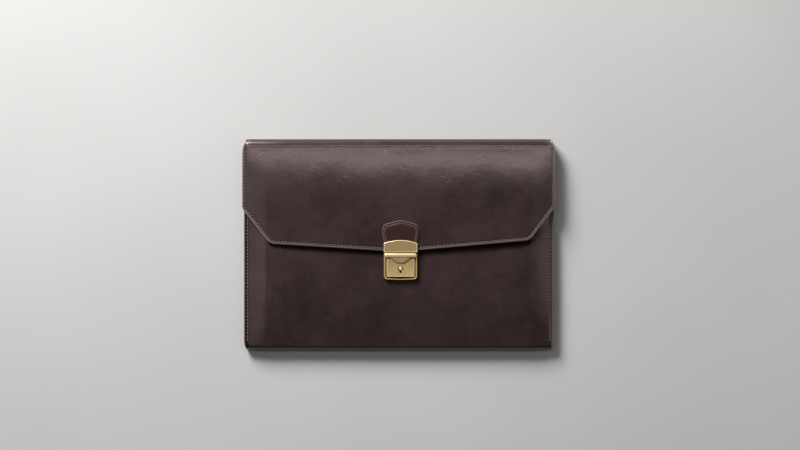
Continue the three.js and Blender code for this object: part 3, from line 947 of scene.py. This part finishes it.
def rubbing_and_side_light(x, y, edge, fold, flap):
    """How light the edges are rubbed, with painted light making the right side's edges lighter."""
    rim = np.maximum(0, edge)
    rubbed_and_lit = by_side(x, BODY_RUB_AND_LIGHT) * fading(rim, by_side(x, BODY_RUB_AND_LIGHT_WIDTH))
    rubbed_and_lit[fold] = np.maximum(rubbed_and_lit[fold], FOLD_END_RUB * fading(rim[fold], FOLD_END_RUB_WIDTH))
    rubbed_and_lit[flap] = np.interp(y[flap], FLAP_RUB_Y, (1, 0)) * fading(rim[flap], FLAP_RUB_WIDTH)
    side_rub_and_light = by_side(x[flap], FLAP_SIDE_RUB_AND_LIGHT) * fading(rim[flap], by_side(x[flap], FLAP_SIDE_RUB_AND_LIGHT_WIDTH))
    rubbed_and_lit[flap] = np.maximum(rubbed_and_lit[flap], side_rub_and_light)
    return rubbed_and_lit


def wax_and_painted_shade(x, y, edge, sewn, seam_distance, front, flap):
    """How dark a place is: dark wax in the seams, dark wax in the pressed line with painted shade on its left
    half, and painted shadow under the flap's lower edge.
    """
    wax_and_shade = SEAM_WAX * sewn * fading(seam_distance, SEAM_WAX_WIDTH)
    # The pressed line: dark wax, with painted shade making its left half darker.
    line_wax_and_shade = fading(edge - EDGE_LINE_INSET, LINE_WAX_AND_SHADE_WIDTH) * by_side(x, LINE_WAX_AND_SHADE)
    wax_and_shade[:flap.start] += line_wax_and_shade[:flap.start]
    # Painted shadow: the front is darkened under the flap's lower edge, more widely towards the right, where
    # the shadow falls longer.
    shade_width = np.interp(x[front], SHADE_PLACES, SHADE_WIDTHS)
    wax_and_shade[front] += fading(distance_to_path(x[front], y[front], SHADED_EDGE), shade_width, SHADE_POWER)
    return wax_and_shade


def leather_body():
    """The one hide that makes the front, base, back, top fold and flap."""
    shares = column_shares()
    rows, front_end, flap_start = hide_rows(shares)
    outer = np.array([np.stack(row, axis=1) for row in rows])
    x, y = outer[:, :, 0], outer[:, :, 1]
    front = slice(0, front_end)
    fold = slice(flap_start - TOP_STEPS, flap_start)
    flap = slice(flap_start, len(rows))
    edge, seam_distance = edge_distances(shares, x, y, front, flap)
    sewn = np.ones_like(y)
    sewn[fold] = 0
    sewn[flap] = np.clip((TOP_FOLD_Y + 1 - y[flap]) / SEAM_FADE, 0, 1)
    line = channel_depth(np.abs(edge - EDGE_LINE_INSET), EDGE_LINE_WIDTH, EDGE_LINE_DEPTH)
    line[flap] = 0
    groove = sewn * channel_depth(seam_distance, CHANNEL_WIDTH, CHANNEL_DEPTH) + line
    vertices = pressed_vertices(outer, edge, groove)
    faces, flesh = grid_faces(*y.shape)
    rim_level = np.tile(edge.ravel(), 2)
    slots = [0] * len(faces) + [int(min(rim_level[list(quad)]) > HIDE / 2) for quad in flesh]
    rubbed_and_lit = rubbing_and_side_light(x, y, edge, fold, flap)
    # The face: rubbed edges and dark wax, with painted light on the right edges, painted shade in the left
    # pressed line and painted shadow under the flap.
    face_wear_and_painted_light = np.clip(rubbed_and_lit - wax_and_painted_shade(x, y, edge, sewn, seam_distance, front, flap), -1, 1)
    wear_and_painted_light = np.concatenate([face_wear_and_painted_light.ravel(), rubbed_and_lit.ravel()])
    return make_mesh("case_hide", vertices.tolist(), faces + flesh, [LEATHER, SUEDE], slots=slots, wear_and_painted_light=wear_and_painted_light)


def grid_faces(rows, columns):
    """The quads of a closed sheet: its outer face with the rim, and its inner face."""
    start = rows * columns
    outer, inner = [], []
    for i in range(rows - 1):
        for j in range(columns - 1):
            a = i * columns + j
            outer.append((a, a + 1, a + columns + 1, a + columns))
            b = start + a
            inner.append((b, b + columns, b + columns + 1, b + 1))
    for i in range(rows - 1):
        for j, flip in ((0, False), (columns - 1, True)):
            a = i * columns + j
            quad = (a, a + columns, start + a + columns, start + a)
            outer.append(quad[::-1] if flip else quad)
    for j in range(columns - 1):
        for i, flip in ((0, True), (rows - 1, False)):
            a = i * columns + j
            quad = (a, a + 1, start + a + 1, start + a)
            outer.append(quad[::-1] if flip else quad)
    return outer, inner


# Gussets


def front_inner(x, y):
    """The front's inner face: under its outer face by the hide's thickness, measured square to the slope."""
    slope_x, slope_y = slopes(front_outer, x, y, GUSSET_SLOPE_STEP)
    return front_outer(x, y) - HIDE * math.sqrt(1 + slope_x**2 + slope_y**2)


def gusset_section(y, thickness):
    """The gusset's section at a place along its length, as a closed outline of distances across and up."""
    edge_x = CASE_HALF - SEAT_GAP
    seam_x = edge_x - GUSSET_SEAM
    crease_x = edge_x - GUSSET_REACH + GUSSET_HIDE / 2
    low = HIDE + SEAT_GAP + GUSSET_HIDE / 2
    edge_high = front_inner(edge_x, y) - SEAT_GAP - GUSSET_HIDE / 2
    seam_high = front_inner(seam_x, y) - SEAT_GAP - GUSSET_HIDE / 2
    middle = (low + edge_high) / 2
    stops = [
        (edge_x - GUSSET_HIDE / 2, edge_high),
        (seam_x, seam_high),
        (crease_x, middle + GUSSET_CREASE_RADIUS),
        (crease_x, middle - GUSSET_CREASE_RADIUS),
        (seam_x, low),
        (edge_x - GUSSET_HIDE / 2, low),
    ]
    radii = (GUSSET_BEND_RADIUS, GUSSET_CREASE_RADIUS, GUSSET_CREASE_RADIUS, GUSSET_BEND_RADIUS)
    path = [stops[0]]
    for i, radius in enumerate(radii):
        path += corner_arc(stops[i], stops[i + 1], stops[i + 2], radius, 6)
    path.append(stops[-1])
    left = inset_path(path, thickness / 2)
    right = inset_path(path, -thickness / 2)
    return left + rounded_end(left[-1], right[-1]) + right[::-1] + rounded_end(right[0], left[0])


def rounded_end(start, end):
    """The points of a half circle that closes a strip's end, from its left face to its right one."""
    centre = (Vector(start) + Vector(end)) / 2
    arm = Vector(start) - centre
    out = Vector((arm.y, -arm.x))
    turns = [math.pi * k / 5 for k in range(1, 5)]
    return [tuple(centre + arm * math.cos(t) + out * math.sin(t)) for t in turns]


def gusset(side, name):
    """One side's gusset: a strip creased inwards, with a leg along the front and one along the back."""
    places = [
        *[BASE_FOLD_Y + step for step in GUSSET_END_STEPS],
        *np.linspace(BASE_FOLD_Y + GUSSET_ROWS_INSET, MOUTH_Y - GUSSET_ROWS_INSET, GUSSET_ROWS),
        *[MOUTH_Y - step for step in reversed(GUSSET_END_STEPS)],
    ]
    vertices, faces = [], []
    count = 0
    for index, y in enumerate(places):
        from_end = min(y - BASE_FOLD_Y, MOUTH_Y - y)
        share = float(rounded_share(from_end, GUSSET_HIDE / 2))
        thickness = GUSSET_HIDE * max(GUSSET_END_SHARE, share)
        section = gusset_section(y, thickness)
        count = len(section)
        vertices += [(side * (px - pinch(y)), y, pz) for px, pz in section]
        if index:
            faces += bridge((index - 1) * count, count)
    for start in (0, len(vertices) - count):
        flat = [Vector((abs(vertices[start + i][0]), vertices[start + i][2], 0)) for i in range(count)]
        faces += [tuple(start + i for i in triangle) for triangle in tessellate_polygon([flat])]
    return make_mesh(name, vertices, faces, [GUSSET_LEATHER])


# The leather tab


def tab_outline():
    """The tab's outline: it is waisted at its lower end and pointed at its upper one."""
    half = half_width(tab_low, tab_high)
    length = tab_high.y - tab_low.y
    right = [(across * half, tab_low.y + up * length) for across, up in TAB_TURNS]
    return shifted(smooth_path([*right, (0, tab_high.y), *mirrored(right)]), LOCK_X)


def flap_tab():
    outline = tab_outline()
    low, high = tab_low.z, tab_high.z
    profile = [
        (0.25, low, 0.5),
        (0, low + 0.25, 0.7),
        (0, high - 0.75, 0.8),
        (0.14, high - 0.35, 0.9),
        (0.45, high - 0.08, 0.7),
        (0.9, high, 0.25),
        (1.4, high - 0.04, 0),
        (1.9, high - 0.16, 0),
        (2.35, high - 0.4, 0),
        (TAB_SEAM_INSET, high - 0.5, 0),
        (3.2, high - 0.4, 0),
        (3.7, high - 0.16, 0),
        (4.2, high - 0.06, 0),
        (4.7, high - 0.05, 0),
    ]
    return ring_solid("tab_patch", plate_rings(outline, profile), [TAB_LEATHER])


# The lock


def hasp_outline():
    half = half_width(hasp_low, hasp_high)
    low = hasp_low_edge()
    shoulder = hasp_high.y - HASP_ARCH
    radius = (half * half + HASP_ARCH**2) / (2 * HASP_ARCH)
    reach = math.asin(half / radius)
    angles = np.linspace(reach * HASP_ARCH_SHARE, -reach * HASP_ARCH_SHARE, 25)
    arch = [(radius * math.sin(a), hasp_high.y - radius + radius * math.cos(a)) for a in angles]
    right = corner_arc((half, low), (half, shoulder), arch[0], HASP_CORNER_RADIUS, 4)
    bottom_left = corner_arc((-half, shoulder), (-half, low), (half, low), HASP_FOOT_RADIUS, 4)
    bottom_right = corner_arc((-half, low), (half, low), (half, shoulder), HASP_FOOT_RADIUS, 4)
    return shifted([*bottom_left, *bottom_right, *right, *arch[1:-1], *mirrored(right)], LOCK_X)


def hasp_low_edge():
    """The plate's lower edge, which stands off the slider by the hinge line's gap."""
    return slider_high.y + HINGE_GAP


def box_rings(outline, low, high, bevel):
    """A small bevelled block, painted dark all over as shade, because it lies in the lock's recesses."""
    profile = [(bevel, low, -1), (0, low + bevel, -1), (0, high - bevel, -1), (bevel, high, -1)]
    return plate_rings(outline, profile)


def hasp_plate():
    """The arched plate, its web past the flap's tip, and its tongue into the lock."""
    top = hasp_high.z
    low = top - HASP_THICKNESS
    profile = [
        (0.15, low, -1),
        (0, low + 0.15, -0.5),
        (0, top - 0.45, 0.2),
        (0.12, top - 0.2, 0.5),
        (0.35, top - 0.04, 0.8),
        (0.5, top, 1),
        (0.85, top, 1),
        (1, top - 0.03, 0.2),
        (1.15, top - 0.07, -0.42),
        (1.6, top - 0.07, -0.42),
    ]
    piece = ring_solid("hasp", plate_rings(hasp_outline(), profile), [BRASS])
    half = half_width(hasp_low, hasp_high) - LOCK_RIM
    web_end = FLAP_TIP_Y - 2 * NOTCH_GAP
    web = shifted(rectangle(-half, half, web_end - UPPER_WALL, web_end), LOCK_X)
    tongue_low = hasp_low.z
    web_piece = ring_solid("web", box_rings(web, tongue_low, low + HASP_THICKNESS / 2, 0.12), [BRASS])
    combine(piece, web_piece, "UNION")
    tongue = shifted(rectangle(-TONGUE_WIDTH / 2, TONGUE_WIDTH / 2, hasp_low.y, web_end), LOCK_X)
    rings = box_rings(tongue, tongue_low + 0.001, tongue_low + TONGUE_THICKNESS, 0.15)
    combine(piece, ring_solid("tongue", rings, [BRASS]), "UNION")
    return piece


def lock_outline(inset):
    """The lock's outline, inset from its outer edge. Its lower side bulges a little."""
    half = half_width(lock_low, lock_high) - inset
    low = lock_end_y() + inset
    high = lock_high.y - min(inset, UPPER_WALL)
    radius = max(LOCK_CORNER_RADIUS - inset, LOCK_SHOULDER_RADIUS)
    top_radius = LOCK_SHOULDER_RADIUS
    corners = [(-half, low), (0, low - LOCK_BELLY), (half, low), (half, high), (-half, high)]
    outline = rounded_outline(corners, [radius, BELLY_RADIUS, radius, top_radius, top_radius], 9)
    return shifted(outline, LOCK_X)


def lock_end_y():
    """The lower corners of the lock. The belly lies a little under them, and its rounding takes some back."""
    half = half_width(lock_low, lock_high)
    corner_angle = math.atan2(LOCK_BELLY, half)
    sagitta = BELLY_RADIUS * (1 / math.cos(corner_angle) - 1)
    return lock_low.y + LOCK_BELLY - sagitta


def darken_low_side(mesh, below):
    """Painted shade: darkens the side of the rim that faces away from the light."""
    wear_and_painted_light = mesh.attributes["wear_and_painted_light"].data
    for vertex in mesh.vertices:
        depth = (below - vertex.co.y / MM) / LOCK_RIM
        painted_shade = LOW_SIDE_SHADE * min(1, max(0, depth))
        wear_and_painted_light[vertex.index].value = max(-1, wear_and_painted_light[vertex.index].value - painted_shade)


def lock_case():
    """A shallow dish with a softly bevelled rim, notched for the hasp's tongue."""
    bottom, top = lock_low.z, lock_high.z
    well = bottom + LOCK_FLOOR
    # The third values hold the rim's polish and grime, and paint a highlight along its rounded top and shade
    # down its sides.
    profile = [
        (0.15, bottom, -1),
        (0, bottom + 0.15, -0.6),
        (0, top - 1.2, -0.7),
        (0.1, top - 0.7, -0.8),
        (0.3, top - 0.35, -0.75),
        (0.6, top - 0.1, -0.6),
        (0.9, top - 0.02, -0.3),
        (1.2, top, 0.2),
        (1.5, top - 0.02, 0.1),
        (1.75, top - 0.08, -0.55),
        (2.1, top - 0.25, -0.65),
        (2.4, top - 0.55, -0.9),
        (LOCK_RIM, top - 1, -1),
        (LOCK_RIM, well + 0.2, -1),
        (LOCK_RIM + 0.2, well, -1),
        (LOCK_RIM + 0.4, well, -1),
    ]
    rings = [(lock_outline(inset), height, worn) for inset, height, worn in profile]
    piece = ring_solid("lock_dish", rings, [BRASS])
    darken_low_side(piece.data, lock_low.y + LOCK_BELLY + LOCK_RIM)
    notch_half = TONGUE_WIDTH / 2 + NOTCH_GAP
    notch_low = well + TONGUE_RISE - NOTCH_GAP
    notch = shifted(rectangle(-notch_half, notch_half, lock_high.y - 2 * UPPER_WALL, lock_high.y + 1), LOCK_X)
    cutter = ring_solid("notch", [(notch, notch_low, -1), (notch, top + 1, -1)], [BRASS])
    combine(piece, cutter, "DIFFERENCE")
    return piece


def keyhole_outline():
    """A round hole with a slot that tapers down from it, as an outline round the post's middle."""
    mouth = math.radians(KEY_SLOT_DEGREES)
    steps = 30
    start = -math.pi / 2 + mouth
    turns = [start + (2 * math.pi - 2 * mouth) * k / steps for k in range(steps + 1)]
    ring = [(KEYHOLE_RADIUS * math.cos(a), KEYHOLE_RADIUS * math.sin(a)) for a in turns]
    left_tip = (-KEY_SLOT_TIP_HALF, -KEY_SLOT_END)
    right_tip = (KEY_SLOT_TIP_HALF, -KEY_SLOT_END)
    left = corner_arc(ring[-1], left_tip, right_tip, KEY_SLOT_TIP_RADIUS, 4)
    right = corner_arc(left_tip, right_tip, ring[0], KEY_SLOT_TIP_RADIUS, 4)
    middle_y = (post_low.y + post_high.y) / 2
    return [(LOCK_X + x, middle_y + y) for x, y in [*ring, *left, *right]]


def lock_face():
    """The raised face with its bevelled border and chamfered keyhole."""
    half = half_width(face_low, face_high)
    corners = rectangle(-half, half, face_low.y, face_high.y)
    outline = shifted(rounded_outline(corners, FACE_RADII, 6), LOCK_X)
    low, top = face_low.z, face_high.z
    profile = [
        (0.12, low, -1),
        (0, low + 0.12, -1),
        (0, top - 0.8, -0.8),
        (0.08, top - 0.5, -0.6),
        (0.22, top - 0.22, 0.1),
        (0.4, top - 0.05, 0.9),
        (0.55, top, 1),
        (0.95, top, 0.9),
        (1.1, top - 0.02, 0),
        (1.3, top - 0.05, -0.2),
    ]
    hole = keyhole_outline()
    hole_profile = [
        (0, low, -1),
        (0, top - 0.7, -1),
        (-0.08, top - 0.3, -0.8),
        (-0.22, top - 0.13, -0.3),
        (-0.4, top - 0.05, -0.2),
        (-0.55, top - 0.05, -0.15),
    ]
    return ring_solid("face_plate", plate_rings(outline, profile), [BRASS], plate_rings(hole, hole_profile))


def key_post():
    """The round post in the keyhole, domed and dimpled. Its profile gives a radius, a height and a wear."""
    low, top = post_low.z, post_high.z
    x, y = (post_low.x + post_high.x) / 2, (post_low.y + post_high.y) / 2
    radius = half_width(post_low, post_high)
    profile = (
        (radius, low, -1),
        (radius, top - 0.6, -1),
        (radius, top - 0.4, -0.4),
        (radius - 0.14, top - 0.16, 0.5),
        (radius - 0.4, top - 0.04, 0.8),
        (radius - 0.75, top, 0.6),
        (0.65, top, 0.5),
        (0.45, top - 0.06, 0.2),
        (0.3, top - 0.16, -0.3),
        (0.12, top - 0.18, -0.3),
    )
    steps = 40
    turns = [2 * math.pi * k / steps for k in range(steps)]
    rings = [([(x + r * math.cos(t), y + r * math.sin(t)) for t in turns], z, worn) for r, z, worn in profile]
    return ring_solid("post", rings, [BRASS])


def lip_outline(bar_end):
    """The slider's lip: broad at the bar, with straight sides down to a narrow rounded tip."""
    seam_y = bar_end + LIP_SINK
    corners = [
        (-LIP_TIP_HALF, bar_end - LIP_REACH),
        (LIP_TIP_HALF, bar_end - LIP_REACH),
        (LIP_SHOULDER_HALF, seam_y),
        (LIP_ROOT_HALF, seam_y),
        (LIP_ROOT_HALF, seam_y + LIP_ROOT),
        (-LIP_ROOT_HALF, seam_y + LIP_ROOT),
        (-LIP_ROOT_HALF, seam_y),
        (-LIP_SHOULDER_HALF, seam_y),
    ]
    return shifted(rounded_outline(corners, LIP_RADII, 6), LOCK_X)


def lock_slider():
    """The push slider: a bar like half a pill, a lip over the face, and two prongs beside the tongue."""
    half = half_width(slider_low, slider_high)
    bar_end = slider_high.y - SLIDER_BAR
    bottom = slider_high.z - SLIDER_HEIGHT
    profile = [
        (0.3, bottom, -1),
        (0, bottom + 0.3, -0.3),
        (0, bottom + 0.55, 0),
        (0.12, bottom + 0.97, 0),
        (0.4, bottom + 1.15, 0.5),
        (0.8, bottom + 1.32, 0.6),
        (1.2, bottom + 1.44, 0.4),
        (1.55, bottom + 1.49, 0.2),
        (1.8, bottom + SLIDER_HEIGHT, 0.1),
    ]
    bar = rounded_outline(rectangle(-half, half, bar_end, slider_high.y), [BAR_RADIUS] * 4, 8)
    piece = ring_solid("slider", plate_rings(shifted(bar, LOCK_X), profile), [BRASS])
    # The third values paint the lip's walls dark, as the shadow round its edge, and darken its top a little.
    lip_profile = [
        (0.1, bottom + 0.01, -1),
        (0, bottom + 0.1, -0.8),
        (0, bottom + 0.4, -1),
        (0.12, bottom + 0.68, -1),
        (0.35, bottom + 0.84, -0.6),
        (0.6, bottom + LIP_HEIGHT, -0.1),
        (0.85, bottom + LIP_HEIGHT, -0.4),
    ]
    lip = ring_solid("lip", plate_rings(lip_outline(bar_end), lip_profile), [BRASS])
    combine(piece, lip, "UNION")
    prong_left = TONGUE_WIDTH / 2 + 2 * NOTCH_GAP
    prong_high = slider_high.y - UPPER_WALL - NOTCH_GAP
    for side in (-1, 1):
        left = min(side * prong_left, side * (prong_left + PRONG_WIDTH))
        outline = rectangle(left, left + PRONG_WIDTH, prong_high - PRONG_THICKNESS, prong_high)
        rings = box_rings(shifted(outline, LOCK_X), slider_low.z, bottom + LIP_HEIGHT / 2, 0.1)
        combine(piece, ring_solid("prong", rings, [BRASS]), "UNION")
    return piece


# Stitches


STITCH_SIDES = 7
STITCH_STEPS = 8
# How much a stitch thins towards its ends, how far they dip, and how flat it is, the last two in thread radii
STITCH_TAPER = 0.72
STITCH_DIP = 1.1
STITCH_FLATNESS = 0.85
# Pitch, length and thread radius of a stitch
LONG_STITCH = (STITCH_PITCH, STITCH_LENGTH, THREAD_RADIUS)
SHORT_STITCH = (TAB_STITCH_PITCH, TAB_STITCH_LENGTH, TAB_THREAD_RADIUS)
TAB_STITCH_DEPTH = 0.25
# How far a thread's middle stands off its face: a little sunk in front, and deeper behind
FRONT_RISE = -0.12
BACK_RISE = -0.42
# How far a seam starts from a fold, and ends from the mouth
SEAM_START = 3
SEAM_END = 4
# Half the stretch over which a seam's direction is taken
WAY_STEP = 0.8


def stitch_shape(length, radius):
    """One stitch along X: a thread that arches out of its hole and dips into the next."""
    vertices, faces = [], []
    for i in range(STITCH_STEPS + 1):
        s = 2 * i / STITCH_STEPS - 1
        swell = math.sqrt(max(0.0, 1 - STITCH_TAPER * s**4))
        height = -radius * STITCH_DIP * s**4
        for k in range(STITCH_SIDES):
            angle = 2 * math.pi * k / STITCH_SIDES
            across = radius * swell * math.cos(angle)
            up = radius * STITCH_FLATNESS * swell * math.sin(angle)
            vertices.append((s * length / 2, across, height + up))
        if i:
            faces += bridge((i - 1) * STITCH_SIDES, STITCH_SIDES)
    last = STITCH_STEPS * STITCH_SIDES
    faces.append(tuple(reversed(range(STITCH_SIDES))))
    faces.append(tuple(range(last, last + STITCH_SIDES)))
    return np.array(vertices), faces


def points_at(points, lengths, stops):
    """The places on a path at some distances from its start."""
    return np.stack([np.interp(stops, lengths, column) for column in points.T], axis=1)


def places_along(path, pitch):
    """Evenly spaced places on a path, with the path's direction at each."""
    points = np.array(path, dtype=float)
    keep = np.append(True, np.linalg.norm(np.diff(points, axis=0), axis=1) > 1e-6)
    points = points[keep]
    lengths = np.append(0, np.cumsum(np.linalg.norm(np.diff(points, axis=0), axis=1)))
    count = max(2, round(lengths[-1] / pitch))
    spots = (np.arange(count) + 0.5) * lengths[-1] / count
    ahead = points_at(points, lengths, spots + WAY_STEP)
    behind = points_at(points, lengths, spots - WAY_STEP)
    ways = ahead - behind
    return points_at(points, lengths, spots), ways / np.linalg.norm(ways, axis=1, keepdims=True)


def seam(name, path, surface, half, rise, stitch=LONG_STITCH, skip=None, side=1):
    """A row of stitches on a face. The path runs in the face's own coordinates, before the case narrows."""
    pitch, length, radius = stitch
    spots, ways = places_along(path, pitch)
    shape, shape_faces = stitch_shape(length, radius)
    vertices, faces = [], []
    for (x, y), (way_x, way_y) in zip(spots, ways):
        if skip and skip(x, y):
            continue
        slope_x, slope_y = slopes(surface, x, y, STITCH_SLOPE_STEP)
        up = Vector((-slope_x, -slope_y, 1)).normalized() * side
        cos, sin = math.cos(STITCH_SLANT), math.sin(STITCH_SLANT)
        along = Vector((way_x * cos - way_y * sin, way_x * sin + way_y * cos, 0))
        along = (along - up * along.dot(up)).normalized()
        across = up.cross(along)
        place = Vector((x * narrowed(half, y) / half, y, surface(x, y))) + up * rise
        start = len(vertices)
        vertices += [tuple(place + along * a + across * b + up * c) for a, b, c in shape]
        faces += [tuple(start + i for i in face) for face in shape_faces]
    return make_mesh(name, vertices, faces, [THREAD])


def under_tab(x, y):
    return abs(x - LOCK_X) < TAB_SEAM_GAP and y < tab_high.y


def flap_seam():
    path = flap_edge(FLAP_SEAM_INSET)
    start_y = TOP_FOLD_Y - SEAM_START
    path[0] = (path[0][0], start_y)
    path[-1] = (path[-1][0], start_y)
    return seam("seam_flap", path, flap_face, FLAP_HALF, FRONT_RISE, skip=under_tab)


def body_seams():
    """The seams that hold the front and the back to the gussets."""
    x = CASE_HALF - BODY_SEAM_INSET
    seams = []
    for side, side_name in ((-1, "left"), (1, "right")):
        path = [(side * x, BASE_FOLD_Y + SEAM_START), (side * x, MOUTH_Y - SEAM_END)]
        seams.append(seam(f"seam_front_{side_name}", path, front_face, CASE_HALF, FRONT_RISE))
        seams.append(seam(f"seam_back_{side_name}", path, back_face, CASE_HALF, BACK_RISE, side=-1))
    return seams


def tab_groove(x, y):
    return tab_high.z - TAB_STITCH_DEPTH


def under_hasp(x, y):
    return y < hasp_high.y - HASP_ARCH - 1


def tab_seam():
    outline = inset_loop(tab_outline(), TAB_SEAM_INSET)
    return seam("seam_tab", outline, tab_groove, FLAP_HALF, 0, SHORT_STITCH, skip=under_hasp)


def ride(piece, body, slot, *nodes):
    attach(piece, body)
    if nodes:
        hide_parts(*nodes)


ride(leather_body(), "case", "dark_leather", "leather_body")
ride(gusset(-1, "gusset_left"), "case", "gusset_leather", "left_gusset")
ride(gusset(1, "gusset_right"), "case", "gusset_leather", "right_gusset")
ride(flap_tab(), "case", "tab_leather", "flap_tab")
ride(hasp_plate(), "case", "lock_brass", "hasp_plate")
ride(lock_case(), "case", "lock_brass", "lock_case")
ride(lock_face(), "case", "lock_brass", "lock_face")
ride(key_post(), "case", "lock_brass", "key_post")
ride(lock_slider(), "slider", "lock_brass", "lock_slider")
for stitches in (flap_seam(), *body_seams(), tab_seam()):
    ride(stitches, "case", "dark_leather")


# Camera, floor and light

PHOTO_WIDTH = 800
PHOTO_HEIGHT = 450
PHOTO_MIDDLE_X = 398.8
PHOTO_MIDDLE_Y = 244.3
PHOTO_CASE_WIDTH = 309.5
EDGE_LEVEL = 9
FLOOR_HALF = 6000
SKY_STRENGTH = 0.02

MIDDLE = (0, 0, 0)
# One main box from the upper left, a strip for the top's sheen, and weak boxes round them. Each lamp has its
# place and its target, its width and length, all in metres, and its radiance.
LAMPS = (
    ("main_box", (-1, 1.66, 1.12), MIDDLE, 0.9, 0.9, 36),
    ("strip", (0.05, 0.585, 2.0), (0, 0.09, 0), 2.0, 0.17, 4.2),
    ("back_wall", (0, 1.9, 1.5), MIDDLE, 3.2, 1.7, 0.3),
    ("far_box", (0.3, 2.4, 0.5), MIDDLE, 2.4, 0.5, 1.2),
    ("left_box", (-1.3, -0.1, 1.75), MIDDLE, 1.3, 1.3, 0.23),
    ("left_sheen", (-0.95, 0.1, 2.4), (-0.17, 0.1, 0), 0.5, 1.2, 0.3),
    ("right_box", (1.55, 0.1, 1.35), MIDDLE, 1.1, 1.1, 0.5),
    ("right_sheen", (1.1, 0.05, 2.3), (0.17, 0.05, 0), 0.5, 1.2, 0.16),
    ("near_box", (0, -1.35, 1.35), MIDDLE, 1.4, 0.5, 0.2),
    ("corner_box", (1.25, -0.8, 1.3), MIDDLE, 0.8, 0.8, 0.35),
)


def add_camera():
    """Straight above the case, as far away as makes the case as wide as in the photograph."""
    data = bpy.data.cameras.new("camera")
    data.lens = 100
    data.sensor_width = 36
    pixel = 2 * CASE_HALF / PHOTO_CASE_WIDTH
    distance = pixel * PHOTO_WIDTH * data.lens / data.sensor_width
    camera = bpy.data.objects.new("camera", data)
    camera.location = (
        (PHOTO_WIDTH / 2 - PHOTO_MIDDLE_X) * pixel * MM,
        (PHOTO_MIDDLE_Y - PHOTO_HEIGHT / 2) * pixel * MM,
        (distance + EDGE_LEVEL) * MM,
    )
    data.clip_end = 100
    bpy.context.scene.collection.objects.link(camera)
    bpy.context.scene.camera = camera


def add_floor():
    corners = [(x, y, 0) for x, y in rectangle(-FLOOR_HALF, FLOOR_HALF, -FLOOR_HALF, FLOOR_HALF)]
    floor = make_mesh("floor", corners, [(0, 1, 2, 3)], [FLOOR], smooth=False)


def add_softbox(name, place, target, width, length, radiance):
    """A flat lamp of a width and length in metres that faces the target."""
    data = bpy.data.lights.new(name, "AREA")
    data.shape = "RECTANGLE"
    data.size = width
    data.size_y = length
    data.energy = radiance * math.pi * width * length
    lamp = bpy.data.objects.new(name, data)
    lamp.location = place
    lamp.rotation_euler = (Vector(target) - Vector(place)).to_track_quat("-Z", "Y").to_euler()
    bpy.context.scene.collection.objects.link(lamp)


def add_world():
    world = bpy.data.worlds.new("studio")
    world.use_nodes = True
    background = world.node_tree.nodes["Background"]
    background.inputs["Color"].default_value = (1, 1, 1, 1)
    background.inputs["Strength"].default_value = SKY_STRENGTH
    bpy.context.scene.world = world


add_camera()
add_floor()
add_world()
for lamp in LAMPS:
    add_softbox(*lamp)
bpy.context.scene.view_settings.view_transform = "Standard"
